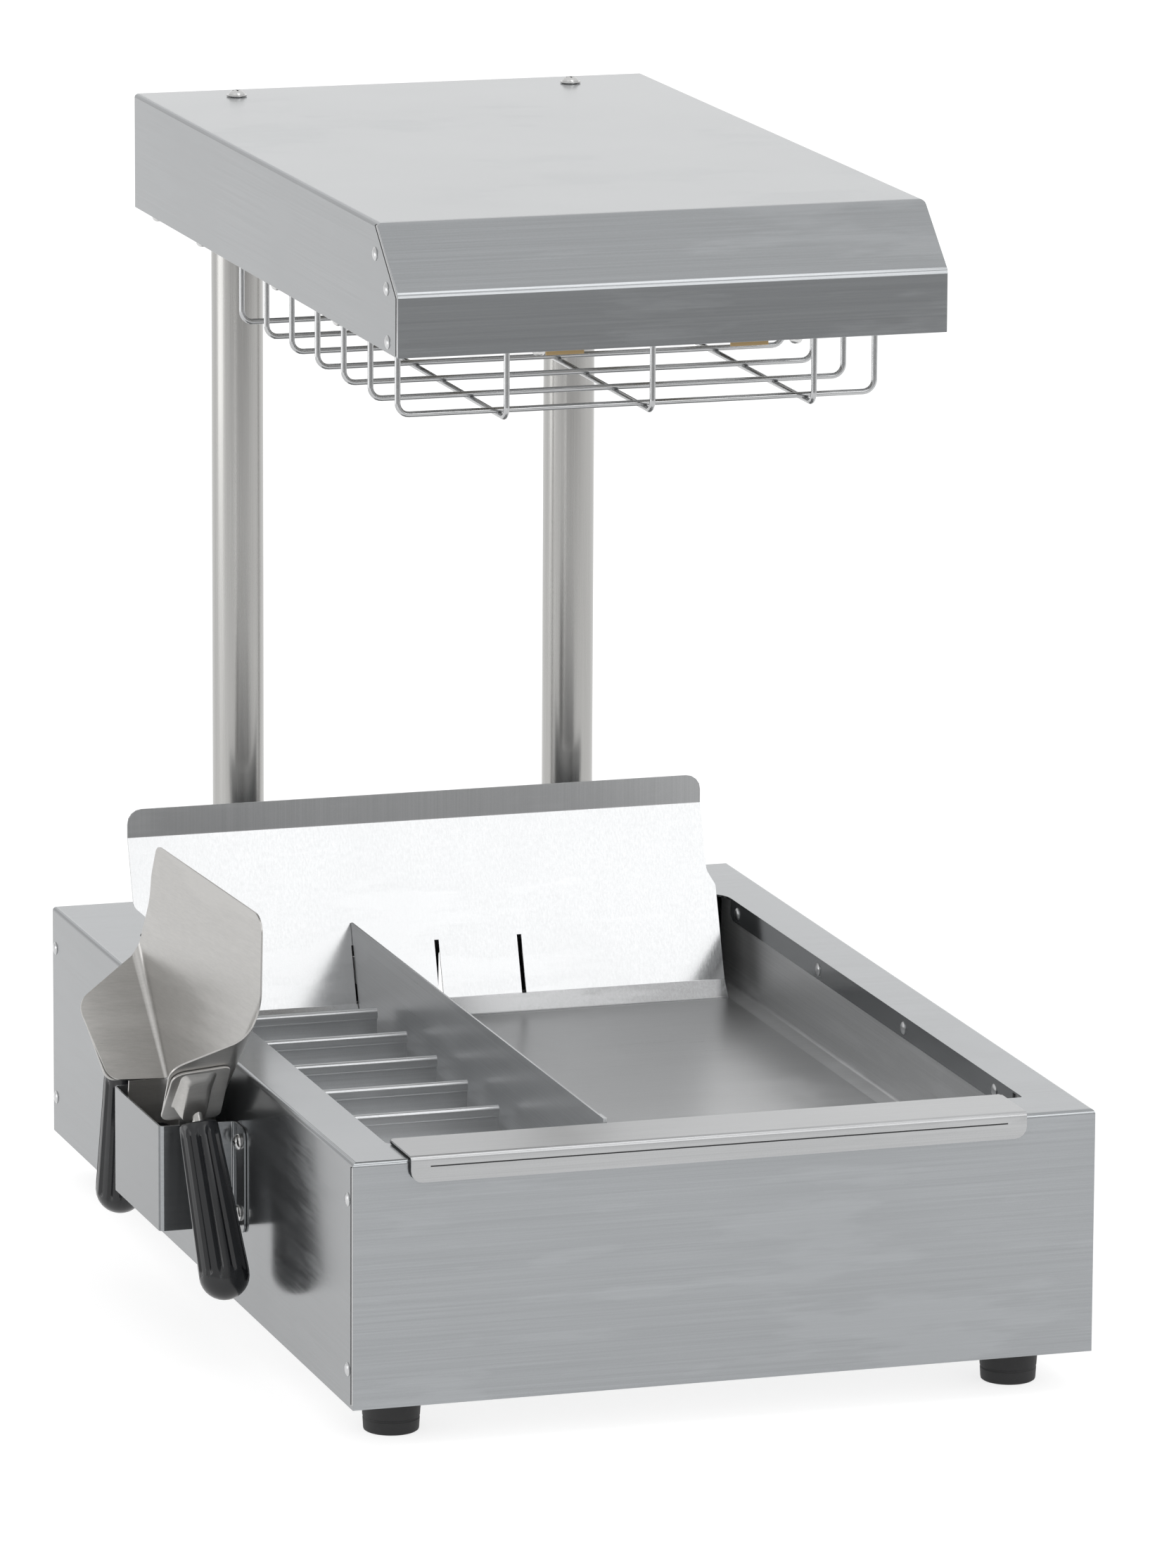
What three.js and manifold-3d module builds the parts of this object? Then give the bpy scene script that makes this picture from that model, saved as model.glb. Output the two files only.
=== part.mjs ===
// French fry dump station: a countertop casing with a heated well, a lift-out insert with a bag rack,
// an overhead heater on two posts, and a two-handled scoop that hangs in a side holder.
// Millimetres. While it is built, X is zero on the casing's centre line, Y is zero at the casing's
// front face and grows towards the rear, and Z is zero under the feet.
import * as THREE from 'three';
import { mergeVertices } from 'three/addons/utils/BufferGeometryUtils.js';
import Module from 'manifold-3d';

const wasm = await Module();
wasm.setup();

// Sizes that many pieces share
const sheet = 1;
const bend = 2.5;
const gap = 0.3;
const overrun = 6;
const holeSlack = 0.6;
const arcSteps = 4;
const fineArcSteps = 6;
const pinSides = 12;
const midSides = 16;
const roundSides = 24;
const rodSides = 8;
const bendSteps = 3;
const smallArcSteps = 3;

// Base casing
const casingWidth = 390;
const casingDepth = 588;
const casingHeight = 126.5;
const openingHalfWidth = 168;
const openingFront = 33;
const openingToRear = 71;
const openingCorner = 15;
const openingFrontCorner = 2;
const stripHeight = 12;
const stripCorner = 5;
const rearLip = 14;

// Feet
const footHeight = 22;
const footTopRadius = 15.5;
const footBottomRadius = 14;
const footEdge = 1.5;
const footFromSide = 31;
const footFromEnd = 38;
const studRadius = 3;
const studReach = 10;

// Bottom pan and rear panel
const panFlange = 12;
const rearFlange = 14;
const ventWidth = 3.4;
const ventCorner = 1.55;
const ventHeight = 34;
const ventPitch = 9;
const ventCount = 9;
const ventCentre = 92;

// Rocker switches
const switchFromPost = 17.6;
const switchPitch = 36;
const switchCount = 2;
const switchHeight = 82;
const bezelWidth = 24;
const bezelHeight = 34;
const bezelThickness = 2;
const switchBodyWidth = 20;
const switchBodyHeight = 29;
const switchBodyDepth = 18;
const rockerWidth = 14;
const rockerHeight = 22;
const rockerThickness = 4;
const rockerRise = 1.6;
const rockerTilt = 8;
const rockerCavity = 8;

// Cable gland
const glandX = -150;
const glandHeight = 52;
const glandRadius = 10;
const glandLength = 8.5;
const glandThread = 8;
const glandBore = 4;
const glandNutLength = 5;

// Well liner, heater and controls under it
const linerOverlapFront = 11;
const linerOverlapRear = 5;
const insertFloorHeight = 78;
const elementRadius = 3.2;
const elementBend = 20;
const elementBendSteps = 4;
const elementRuns = 4;
const elementPitch = 80;
const elementFront = 90;
const elementTurnToRear = 118;
const elementTailToRear = 53;
const clipWidth = 12;
const clipThickness = 1.5;
const clipHalfLength = 150;
const clipFoot = 12;
const clipBend = 1.5;
const clipArcSteps = 2;
const clipShares = [0.3, 0.75];
const shieldHalfWidth = 158;
const shieldFlange = 8;
const shieldDrop = 14;
const shieldShort = 20;
const thermostatX = 60;
const thermostatToRear = 78;
const thermostatFlange = 12;
const thermostatFlangeThickness = 2;
const thermostatRadius = 8;
const thermostatLength = 12;
const blockX = -40;
const blockToRear = 43;
const blockLength = 40;
const blockWidth = 20;
const blockHeight = 16;
const blockGroove = 4;
const blockWays = 4;

// Posts
const postRadius = 14;
const postWall = 1.5;
const postSpacing = 188.8;
const postFromRear = 18.5;
const plugLength = 15;
const screwRadius = 3;
const screwLength = 18;
const bottomHeadRadius = 6;
const bottomHeadHeight = 4;
const topHeadRadius = 4.4;
const topHeadHeight = 2.4;
const headShoulderShare = 0.8;
const headCrownShare = 0.4;
const headRiseShare = 0.72;
const washerRadius = 5.6;
const washerThickness = 0.8;
const leadRadius = 3.5;
const leadLow = 62;
const leadBend = 12;
const leadBendRadius = 7;
const leadRun = 24;

// Hood
const hoodWidth = 288.4;
const hoodTop = 594.5;
const hoodTopLength = 465;
const hoodSlantDrop = 30.6;
const hoodSlantRun = 36.5;
const hoodFace = 31.8;
const hoodBehindPosts = 27.2;
const hoodBend = 4;
const leadHoleToTop = 31.2;
const hoodFlange = 10;
const hoodPanelDepth = 112.7;

// Reflector, heating tubes and their brackets
const reflectorFlangeInner = 116;
const reflectorTopHalf = 98;
const reflectorRise = 27;
const reflectorToPosts = 89.5;
const tubeSpacing = 97;
const tubeShift = -6;
const tubeRadius = 5.5;
const tubeCapRadius = 7;
const tubeCapLength = 14;
const tubeBehindFace = 4.8;
const tubeToPosts = 95.5;
const tubeHeight = 548;
const bracketWidth = 20;
const bracketThickness = 1.2;
const bracketFlange = 10;
const bracketBelow = 3.6;
const bracketFromEnd = 5;

// Wire guard
const wireRadius = 1.5;
const wireSides = 6;
const wireBend = 6;
const guardHalfWidth = 126.6;
const guardHeight = 492.8;
const guardBehindFace = 59.8;
const guardPitch = 48.3;
const guardHoops = 7;
const longWireCentres = [-73, 4, 90];
const longWireOverhang = 12;
const weldSink = 0.5;

// Scoop holders
const holderFront = 213.5;
const holderLength = 90.5;
const holderReach = 41;
const holderBottom = 62.5;
const holderTop = 118;
const holderFlange = 19;
const holderFlangeCorner = 6;
const holderScrewInset = 9.5;
const holderScrewHigh = 109.5;
const holderScrewLow = 72;
const holderScrewRadius = 2;
const holderHeadRadius = 4.35;
const holderHeadHeight = 2.6;
const holderScrewReach = 8;

// Scoop
const scoopStandOff = 9;
const scoopForward = 7.2;
const scoopApexHeight = 178.6;
const scoopYaw = 7;
const scoopRoll = 3;
const scoopLean = 2;
const scoopHalfWidth = 82.5;
const scoopLipRise = 60;
const scoopLipHalfWidth = 77;
const scoopLipCorner = 10;
const throatHalfWidth = 35;
const throatDrop = 57;
const throatBottomDrop = 80;
const throatDepth = 22.5;
const flapPeakAlong = 28.2;
const flapPeakHeight = 41.8;
const flapPeakCorner = 12;
const flapLowAlong = 72.9;
const flapLowHeight = 33;
const flapLowCorner = 8;

// Scoop handles
const plateAlong = 51;
const plateHeight = 18;
const plateLength = 42;
const plateWidth = 28;
const plateThickness = 1.5;
const plateCorner = 4;
const socketStart = 35;
const socketEnd = 70;
const socketWidth = 17;
const socketBrow = 1.5;
const socketRise = 7;
const tangRadius = 3;
const tangBend = 4;
const tangElbow = 4;
const tangAlong = 60;
const tangRise = 6;
const gripTopSide = 62;
const gripTopOut = 28;
const gripTopSkew = 3;
const gripTopHeight = 123;
const gripLength = 92;
const gripSplay = 22;
const gripLean = 4;
const gripTopRadius = 10;
const gripBottomRadius = 13;
const gripBore = 40;
const gripEndSteps = 3;

// Insert, in the casing's height scale
const insertShift = -4.5;
const insertWidth = 323;
const insertWellWidth = 321;
const splashWidth = 325.4;
const splashShift = -6.6;
const lipFront = -3.5;
const lipRise = 2;
const lipFlange = 13.5;
const lipCorner = 6;
const frontWallPlace = 36.5;
const bandToOpening = 48;
const bandRun = 7;
const bandRise = 9;
const splashLean = 19;
const splashCreaseHeight = 180.5;
const splashTopBand = 15.5;
const splashTopCorner = 8;
const splashStepLow = 137;
const splashStepHigh = 145;
const splashStepLowCorner = 2;
const splashStepHighCorner = 4;
const slotPitch = 47;
const slotShift = -1.5;
const slotWidth = 2.5;
const slotHeight = 118;
const slotCount = 3;
const slotCutReach = 60;

// Partition and bag rack
const partitionTop = 130;
const partitionClear = 1;
const partitionHem = 10;
const partitionFoot = 12;
const tabHeight = 14;
const tabProud = 1.2;
const tabTopBelowSlot = 6;
const rackToBand = 49.6;
const rackPitch = 55.6;
const rackRibs = 5;
const ribHeight = 20;
const ribHem = 4;
const ribHemHeight = 6;
const ribHemOverlap = 0.5;
const ribFoot = 12;
const rackEndClear = 3;
const rackToPartition = 6;
const rackBaseMargin = 14;

// Ranges of the corners that are worked out from the sizes above
const casingHalf = casingWidth / 2;
const casingTop = footHeight + casingHeight;
const openingRear = casingDepth - openingToRear;
const linerFront = openingFront - linerOverlapFront;
const linerRear = openingRear + linerOverlapRear;
const elementRear = casingDepth - elementTurnToRear;
const elementTail = casingDepth - elementTailToRear;
const shieldFront = linerFront + shieldShort;
const shieldRear = linerRear - shieldShort;
const thermostatY = casingDepth - thermostatToRear;
const blockY = casingDepth - blockToRear;
const bandStart = openingRear - bandToOpening;
const innerHalf = casingHalf - sheet - gap;
const panTop = footHeight + sheet;
const rearPlateRear = casingDepth - sheet - gap;
const rearPlateFront = rearPlateRear - sheet;
const stripInner = openingHalfWidth;
const linerHalf = stripInner + sheet + gap + sheet / 2;
const insertFloor = footHeight + insertFloorHeight;
const linerFloorTop = insertFloor - gap;
const linerUnderside = linerFloorTop - sheet;
const postY = casingDepth - postFromRear;
const postX = postSpacing / 2;
const postInner = postRadius - postWall;
const firstSwitchX = postX + postRadius + switchFromPost;
const switchCentres = Array.from({ length: switchCount }, (_, i) => firstSwitchX + i * switchPitch);
const postBottom = panTop + gap;
const hoodHalf = hoodWidth / 2;
const hoodRear = postY + hoodBehindPosts;
const hoodBrow = hoodRear - hoodTopLength;
const hoodFront = hoodBrow - hoodSlantRun;
const hoodBottom = hoodTop - hoodSlantDrop - hoodFace;
const hoodPanelFront = hoodRear - hoodPanelDepth;
const reflectorRear = postY - reflectorToPosts;
const tubeFront = hoodFront + tubeBehindFace;
const tubeRear = postY - tubeToPosts;
const guardFirst = hoodFront + guardBehindFace;
const hoodFlangeTop = hoodBottom + sheet;
const hoodPanelBottom = hoodFlangeTop + gap;
const postTop = hoodTop - sheet - gap;
const insertLipTop = casingTop + lipRise;
const partitionX = insertShift + slotShift - slotPitch;
const rackFirst = bandStart - rackToBand - (rackRibs - 1) * rackPitch;

// Steel, rubber and plastic finishes: each call gives a material of its own
function finish(color, metalness, roughness) {
  return new THREE.MeshStandardMaterial({ color, metalness, roughness });
}
const brushed = () => finish('#a6aaad', 0.9, 0.38);
const bright = () => finish('#d6d8da', 1, 0.2);
const inner = () => finish('#8d9093', 0.85, 0.5);
const bronze = () => finish('#8a6a42', 0.8, 0.45);
const black = () => finish('#17181a', 0, 0.45);
const rubber = () => finish('#141414', 0, 0.8);
const ceramic = () => finish('#d9d4c6', 0, 0.6);
const red = () => finish('#a51d18', 0, 0.3);

const group = new THREE.Group();

// A closed geometry as a solid that can be joined and cut
function solid(geometry) {
  const bare = new THREE.BufferGeometry();
  bare.setAttribute('position', geometry.getAttribute('position'));
  bare.setIndex(geometry.index);
  const merged = mergeVertices(bare);
  const corners = merged.index.array;
  const kept = [];
  for (let i = 0; i < corners.length; i += 3) {
    const [a, b, c] = corners.slice(i, i + 3);
    if (a !== b && b !== c && c !== a) kept.push(a, b, c);
  }
  return new wasm.Manifold(new wasm.Mesh({
    numProp: 3,
    vertProperties: new Float32Array(merged.getAttribute('position').array),
    triVerts: new Uint32Array(kept),
  }));
}

// Adds a solid to the model as one named mesh
function piece(name, body, material) {
  const made = body.getMesh();
  const geometry = new THREE.BufferGeometry();
  geometry.setAttribute('position', new THREE.BufferAttribute(made.vertProperties, 3));
  geometry.setIndex(new THREE.BufferAttribute(made.triVerts, 1));
  geometry.computeVertexNormals();
  const mesh = new THREE.Mesh(geometry, material);
  mesh.name = name;
  group.add(mesh);
  return mesh;
}

const ordered = (a, b) => [Math.min(a, b), Math.max(a, b)];
const join = (...bodies) => bodies.reduce((whole, body) => whole.add(body));
const cut = (body, ...tools) => tools.reduce((whole, tool) => whole.subtract(tool), body);

// The points of a line of corners, with each inner corner rounded, and the left-hand normal at each.
// A closed line rounds its first corner too. A corner is [u, v] or [u, v, radius].
function rounded(corners, radius, steps, closed) {
  const count = corners.length;
  const places = corners.map(([u, v]) => new THREE.Vector2(u, v));
  const samples = [];
  corners.forEach((corner, i) => {
    const open = !closed && (i === 0 || i === count - 1);
    const here = places[i];
    const before = places[(i + count - 1) % count];
    const after = places[(i + 1) % count];
    const arriving = here.clone().sub(before).normalize();
    const leaving = after.clone().sub(here).normalize();
    if (open) {
      const along = i === 0 ? leaving : arriving;
      samples.push({ at: here, normal: new THREE.Vector2(-along.y, along.x) });
      return;
    }
    const turn = Math.atan2(arriving.cross(leaving), arriving.dot(leaving));
    const size = corner[2] ?? radius;
    const reach = size * Math.tan(Math.abs(turn) / 2);
    const normal = new THREE.Vector2(-arriving.y, arriving.x);
    const side = Math.sign(turn);
    const start = here.clone().addScaledVector(arriving, -reach);
    const centre = start.clone().addScaledVector(normal, side * size);
    const rings = size === 0 ? 0 : Math.max(1, Math.round(steps * Math.abs(turn) / (Math.PI / 2)));
    if (rings === 0) {
      samples.push({ at: here, normal });
      return;
    }
    for (let k = 0; k <= rings; k += 1) {
      const angle = turn * k / rings;
      const at = start.clone().rotateAround(centre, angle);
      samples.push({ at, normal: normal.clone().rotateAround(new THREE.Vector2(), angle) });
    }
  });
  return samples;
}

// A closed outline with rounded corners
function outline(corners, radius = 0, steps = arcSteps) {
  return rounded(corners, radius, steps, true).map(({ at }) => at);
}

// The outline of a sheet of even thickness, folded along a line with rounded bends
function folded(corners, thickness = sheet, radius = bend - sheet / 2, steps = arcSteps) {
  const samples = rounded(corners, radius, steps, false);
  const shifted = (side) => samples.map(({ at, normal }) =>
    at.clone().addScaledVector(normal, side * thickness / 2));
  return [...shifted(1), ...shifted(-1).reverse()];
}

const rectangle = (u0, u1, v0, v1) => [[u0, v0], [u1, v0], [u1, v1], [u0, v1]];

const axisX = new THREE.Vector3(1, 0, 0);
const axisY = new THREE.Vector3(0, 1, 0);
const axisZ = new THREE.Vector3(0, 0, 1);
const standX = new THREE.Matrix4().makeBasis(axisY, axisZ, axisX);
const standY = new THREE.Matrix4().makeBasis(axisX, axisZ, axisY.clone().negate());

function extruded(points, depth) {
  const shape = new THREE.Shape(points.map((p) => (p.isVector2 ? p : new THREE.Vector2(...p))));
  return new THREE.ExtrudeGeometry(shape, { depth, bevelEnabled: false });
}

// Prisms along each axis: the outline is given as (y, z), (x, z) or (x, y)
function prismX(points, from, to) {
  return solid(extruded(points, to - from).applyMatrix4(standX).translate(from, 0, 0));
}
function prismY(points, from, to) {
  return solid(extruded(points, to - from).applyMatrix4(standY).translate(0, to, 0));
}
function prismZ(points, from, to) {
  return solid(extruded(points, to - from).translate(0, 0, from));
}
const box = (x0, x1, y0, y1, z0, z1) => prismZ(rectangle(x0, x1, y0, y1), z0, z1);

// A turned solid about Z: the profile is (radius, height), from the bottom of the axis to its top
function turned(profile, sides = roundSides) {
  const points = profile.map(([r, z]) => new THREE.Vector2(r, z));
  return new THREE.LatheGeometry(points, sides).rotateX(Math.PI / 2);
}
const rodProfile = (radius, from, to) => [[0, from], [radius, from], [radius, to], [0, to]];
const rod = (radius, from, to, sides = pinSides) => turned(rodProfile(radius, from, to), sides);

// Turned solids laid along another axis
const upright = (geometry, x, y, z = 0) => solid(geometry.translate(x, y, z));
const lyingY = (geometry, x, y, z) => solid(geometry.rotateX(-Math.PI / 2).translate(x, y, z));
const lyingX = (geometry, side, x, y, z) => solid(geometry.rotateY(side * Math.PI / 2).translate(x, y, z));

// A wire through points, with rounded bends and a ring of the section at each bend's steps only
class BentWire extends THREE.Curve {
  constructor(stations) {
    super();
    this.stations = stations;
  }

  getPoint(t, target = new THREE.Vector3()) {
    const place = t * (this.stations.length - 1);
    const index = Math.min(Math.floor(place), this.stations.length - 2);
    return target.lerpVectors(this.stations[index], this.stations[index + 1], place - index);
  }

  getUtoTmapping(u) {
    return u;
  }
}

function bentStations(points, radius, steps) {
  const stations = [points[0]];
  for (let i = 1; i < points.length - 1; i += 1) {
    const arriving = points[i].clone().sub(points[i - 1]).normalize();
    const leaving = points[i + 1].clone().sub(points[i]).normalize();
    const turn = arriving.angleTo(leaving);
    const axis = arriving.clone().cross(leaving).normalize();
    const reach = radius * Math.tan(turn / 2);
    const start = points[i].clone().addScaledVector(arriving, -reach);
    const inward = axis.clone().cross(arriving);
    const centre = start.clone().addScaledVector(inward, radius);
    for (let k = 0; k <= steps; k += 1) {
      const arm = start.clone().sub(centre).applyAxisAngle(axis, turn * k / steps);
      stations.push(arm.add(centre));
    }
  }
  stations.push(points[points.length - 1]);
  return stations;
}

function wire(points, radius, bendRadius, sides = wireSides, steps = bendSteps) {
  const corners = points.map(([x, y, z]) => new THREE.Vector3(x, y, z));
  const stations = corners.length > 2 ? bentStations(corners, bendRadius, steps) : corners;
  const section = [];
  for (let i = 0; i < sides; i += 1) {
    const angle = 2 * Math.PI * (i + 0.5) / sides;
    section.push(new THREE.Vector2(radius * Math.cos(angle), radius * Math.sin(angle)));
  }
  const extrudePath = new BentWire(stations);
  return solid(new THREE.ExtrudeGeometry(new THREE.Shape(section), {
    steps: stations.length - 1, extrudePath, bevelEnabled: false,
  }));
}

// Base casing
function casingBlock(inset, bottom) {
  const half = casingHalf - inset;
  const top = casingTop - inset;
  const round = bend - inset;
  const side = outline([
    [inset, bottom, 0], [casingDepth - inset, bottom, 0],
    [casingDepth - inset, top, round], [inset, top, round],
  ]);
  const front = outline([[-half, bottom, 0], [half, bottom, 0], [half, top, round], [-half, top, round]]);
  return prismX(side, -half, half).intersect(prismY(front, inset, casingDepth - inset));
}

function openingOutline(grow) {
  const half = openingHalfWidth + grow;
  const front = openingFront - grow;
  const rear = openingRear + grow;
  const rearCorner = openingCorner + grow;
  return outline([
    [-half, front, openingFrontCorner], [half, front, openingFrontCorner],
    [half, rear, rearCorner], [-half, rear, rearCorner],
  ], 0, fineArcSteps);
}

function holderScrewPlaces(side) {
  const front = holderFront - holderFlange + holderScrewInset;
  const rear = holderFront + holderLength + holderFlange - holderScrewInset;
  return [
    { name: 'front_high', y: front, z: holderScrewHigh },
    { name: 'front_low', y: front, z: holderScrewLow },
    { name: 'rear_high', y: rear, z: holderScrewHigh },
    { name: 'rear_low', y: rear, z: holderScrewLow },
  ].map((place) => ({ ...place, side }));
}

function makeCasing() {
  const shell = cut(
    casingBlock(0, footHeight),
    casingBlock(sheet, footHeight - overrun),
    prismZ(openingOutline(0), casingTop - overrun, casingTop + overrun),
    box(
      -casingHalf + sheet, casingHalf - sheet, casingDepth - sheet - overrun, casingDepth + overrun,
      footHeight - overrun, casingTop - rearLip,
    ),
  );
  const straightFront = openingFront + openingCorner;
  const straightRear = openingRear - openingCorner;
  const strip = outline([
    [straightFront, casingTop - stripHeight, stripCorner],
    [straightRear, casingTop - stripHeight, stripCorner],
    [straightRear, casingTop - sheet / 2, 0],
    [straightFront, casingTop - sheet / 2, 0],
  ]);
  let body = join(
    shell,
    prismX(strip, stripInner, stripInner + sheet),
    prismX(strip, -stripInner - sheet, -stripInner),
  );
  for (const side of [-1, 1]) {
    const postHole = rod(postRadius + gap, casingTop - overrun, casingTop + overrun, roundSides);
    body = body.subtract(upright(postHole, side * postX, postY));
    for (const { y, z } of holderScrewPlaces(side)) {
      const hole = rod(holderScrewRadius + gap, -overrun, overrun);
      body = body.subtract(lyingX(hole, side, side * casingHalf, y, z));
    }
  }
  piece('base_casing', body, brushed());
}

// Feet, one under each corner, each with a stud through the bottom pan
const footPlaces = [
  ['foot_front_left', -casingHalf + footFromSide, footFromEnd],
  ['foot_front_right', casingHalf - footFromSide, footFromEnd],
  ['foot_rear_left', -casingHalf + footFromSide, casingDepth - footFromEnd],
  ['foot_rear_right', casingHalf - footFromSide, casingDepth - footFromEnd],
];

function makeFeet() {
  for (const [name, x, y] of footPlaces) {
    const profile = [
      [0, 0], [footBottomRadius - footEdge, 0], [footBottomRadius, footEdge],
      [footTopRadius, footHeight - gap], [studRadius, footHeight - gap],
      [studRadius, panTop + studReach], [0, panTop + studReach],
    ];
    piece(name, upright(turned(profile, midSides), x, y), rubber());
  }
}

// Bottom pan
function makeBottomPan() {
  const front = sheet + gap;
  const rear = rearPlateFront - gap;
  let body = cut(
    box(-innerHalf, innerHalf, front, rear, footHeight, footHeight + panFlange),
    box(-innerHalf + sheet, innerHalf - sheet, front + sheet, rear - sheet, panTop, panTop + panFlange),
  );
  for (const [, x, y] of footPlaces) {
    const hole = rod(studRadius + gap, footHeight - overrun, panTop + overrun);
    body = body.subtract(upright(hole, x, y));
  }
  for (const side of [-1, 1]) {
    const hole = rod(screwRadius + gap, footHeight - overrun, panTop + overrun);
    body = body.subtract(upright(hole, side * postX, postY));
  }
  piece('base_bottom_pan', body, inner());
}

// Rear panel with its side flanges, switch cut-outs, vents and the gland's hole
function makeRearPanel() {
  const top = casingTop - bend;
  const flangeBottom = footHeight + panFlange + gap;
  const flangeFront = rearPlateFront - rearFlange;
  const flange = (side) => {
    const [x0, x1] = ordered(side * innerHalf, side * (innerHalf - sheet));
    return box(x0, x1, flangeFront, rearPlateRear, flangeBottom, top);
  };
  let body = join(
    box(-innerHalf, innerHalf, rearPlateFront, rearPlateRear, footHeight, top),
    flange(-1),
    flange(1),
  );
  for (const x of switchCentres) {
    const halfWidth = switchBodyWidth / 2 + gap;
    const halfHeight = switchBodyHeight / 2 + gap;
    body = body.subtract(box(
      x - halfWidth, x + halfWidth, rearPlateFront - overrun, rearPlateRear + overrun,
      switchHeight - halfHeight, switchHeight + halfHeight,
    ));
  }
  const glandHole = rod(glandThread + gap, -overrun, overrun);
  body = body.subtract(lyingY(glandHole, glandX, rearPlateRear, glandHeight));
  const ventLow = ventCentre - ventHeight / 2;
  const ventHigh = ventCentre + ventHeight / 2;
  for (let i = 0; i < ventCount; i += 1) {
    const x = (i - (ventCount - 1) / 2) * ventPitch;
    const slot = outline(
      rectangle(x - ventWidth / 2, x + ventWidth / 2, ventLow, ventHigh), ventCorner, smallArcSteps,
    );
    body = body.subtract(prismY(slot, rearPlateFront - overrun, rearPlateRear + overrun));
  }
  piece('rear_panel', body, brushed());
}

// Rocker switches in the rear panel
function makeSwitches() {
  switchCentres.forEach((x, i) => {
    const number = i + 1;
    const bezelInner = rearPlateRear + gap;
    const bezelOuter = bezelInner + bezelThickness;
    const bodyFront = rearPlateRear - switchBodyDepth;
    const cavityWidth = rockerWidth / 2 + holeSlack;
    const cavityHeight = rockerHeight / 2 + holeSlack;
    const housing = cut(
      join(
        box(
          x - bezelWidth / 2, x + bezelWidth / 2, bezelInner, bezelOuter,
          switchHeight - bezelHeight / 2, switchHeight + bezelHeight / 2,
        ),
        box(
          x - switchBodyWidth / 2, x + switchBodyWidth / 2,
          bodyFront, bezelInner + bezelThickness / 2,
          switchHeight - switchBodyHeight / 2, switchHeight + switchBodyHeight / 2,
        ),
      ),
      box(
        x - cavityWidth, x + cavityWidth, bezelOuter - rockerCavity, bezelOuter + overrun,
        switchHeight - cavityHeight, switchHeight + cavityHeight,
      ),
    );
    piece(`switch_housing_${number}`, housing, black());
    const half = rockerHeight / 2;
    const face = rockerThickness / 2;
    const rocker = prismX(
      [[-face, -half], [face + rockerRise, -half], [face, 0], [face + rockerRise, half], [-face, half]],
      -rockerWidth / 2,
      rockerWidth / 2,
    );
    const mesh = piece(`switch_rocker_${number}`, rocker, red());
    mesh.position.set(x, bezelOuter - rockerThickness / 2, switchHeight);
    mesh.rotation.x = THREE.MathUtils.degToRad(rockerTilt);
  });
}

// Cable gland: body outside, thread through the panel and nut inside, in one piece with its bore
function makeGland() {
  const inside = -(sheet + gap + glandNutLength);
  const profile = [
    [glandBore, inside], [glandRadius, inside], [glandRadius, -(sheet + gap)], [glandThread, -(sheet + gap)],
    [glandThread, gap], [glandRadius, gap], [glandRadius, glandLength / 2], [glandThread, glandLength],
    [glandBore, glandLength], [glandBore, inside],
  ];
  piece('cable_gland', lyingY(turned(profile, pinSides), glandX, rearPlateRear, glandHeight), black());
}

// Well liner: one sheet folded to a U, behind the folded strips of the opening
function makeLiner() {
  const floor = linerFloorTop - sheet / 2;
  const top = casingTop - sheet - gap;
  const line = [[-linerHalf, top], [-linerHalf, floor], [linerHalf, floor], [linerHalf, top]];
  piece('well_liner', prismY(folded(line), linerFront, linerRear), inner());
}

// Heater under the liner, its clips, the shield below it and the thermostat
function makeBaseHeater() {
  const z = linerUnderside - gap - elementRadius;
  const points = [];
  for (let run = 0; run < elementRuns; run += 1) {
    const x = (run - (elementRuns - 1) / 2) * elementPitch;
    const forward = run % 2 === 0;
    const near = run === 0 ? elementTail : elementRear;
    const far = run === elementRuns - 1 ? elementTail : elementRear;
    points.push(...(forward ? [[x, near, z], [x, elementFront, z]] : [[x, elementFront, z], [x, far, z]]));
  }
  piece('base_element', wire(points, elementRadius, elementBend, rodSides, elementBendSteps), inner());
  const high = linerUnderside - gap - clipThickness / 2;
  const low = z - elementRadius - gap - clipThickness / 2;
  const line = [
    [-clipHalfLength, high], [-clipHalfLength + clipFoot, high], [-clipHalfLength + clipFoot, low],
    [clipHalfLength - clipFoot, low], [clipHalfLength - clipFoot, high], [clipHalfLength, high],
  ];
  ['front', 'rear'].forEach((end, i) => {
    const y = THREE.MathUtils.lerp(elementFront, elementRear, clipShares[i]);
    const section = folded(line, clipThickness, clipBend, clipArcSteps);
    piece(`element_clip_${end}`, prismY(section, y - clipWidth / 2, y + clipWidth / 2), inner());
  });
  const flange = linerUnderside - gap - sheet / 2;
  const bottom = flange - shieldDrop;
  const shield = [
    [-shieldHalfWidth - shieldFlange, flange], [-shieldHalfWidth, flange], [-shieldHalfWidth, bottom],
    [shieldHalfWidth, bottom], [shieldHalfWidth, flange], [shieldHalfWidth + shieldFlange, flange],
  ];
  piece('heat_shield', prismY(folded(shield), shieldFront, shieldRear), inner());
  const top = linerUnderside - gap;
  const disc = [
    [0, top - thermostatLength], [thermostatRadius, top - thermostatLength],
    [thermostatRadius, top - thermostatFlangeThickness], [thermostatFlange, top - thermostatFlangeThickness],
    [thermostatFlange, top], [0, top],
  ];
  piece('thermostat', upright(turned(disc, pinSides), thermostatX, thermostatY), ceramic());
}

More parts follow.
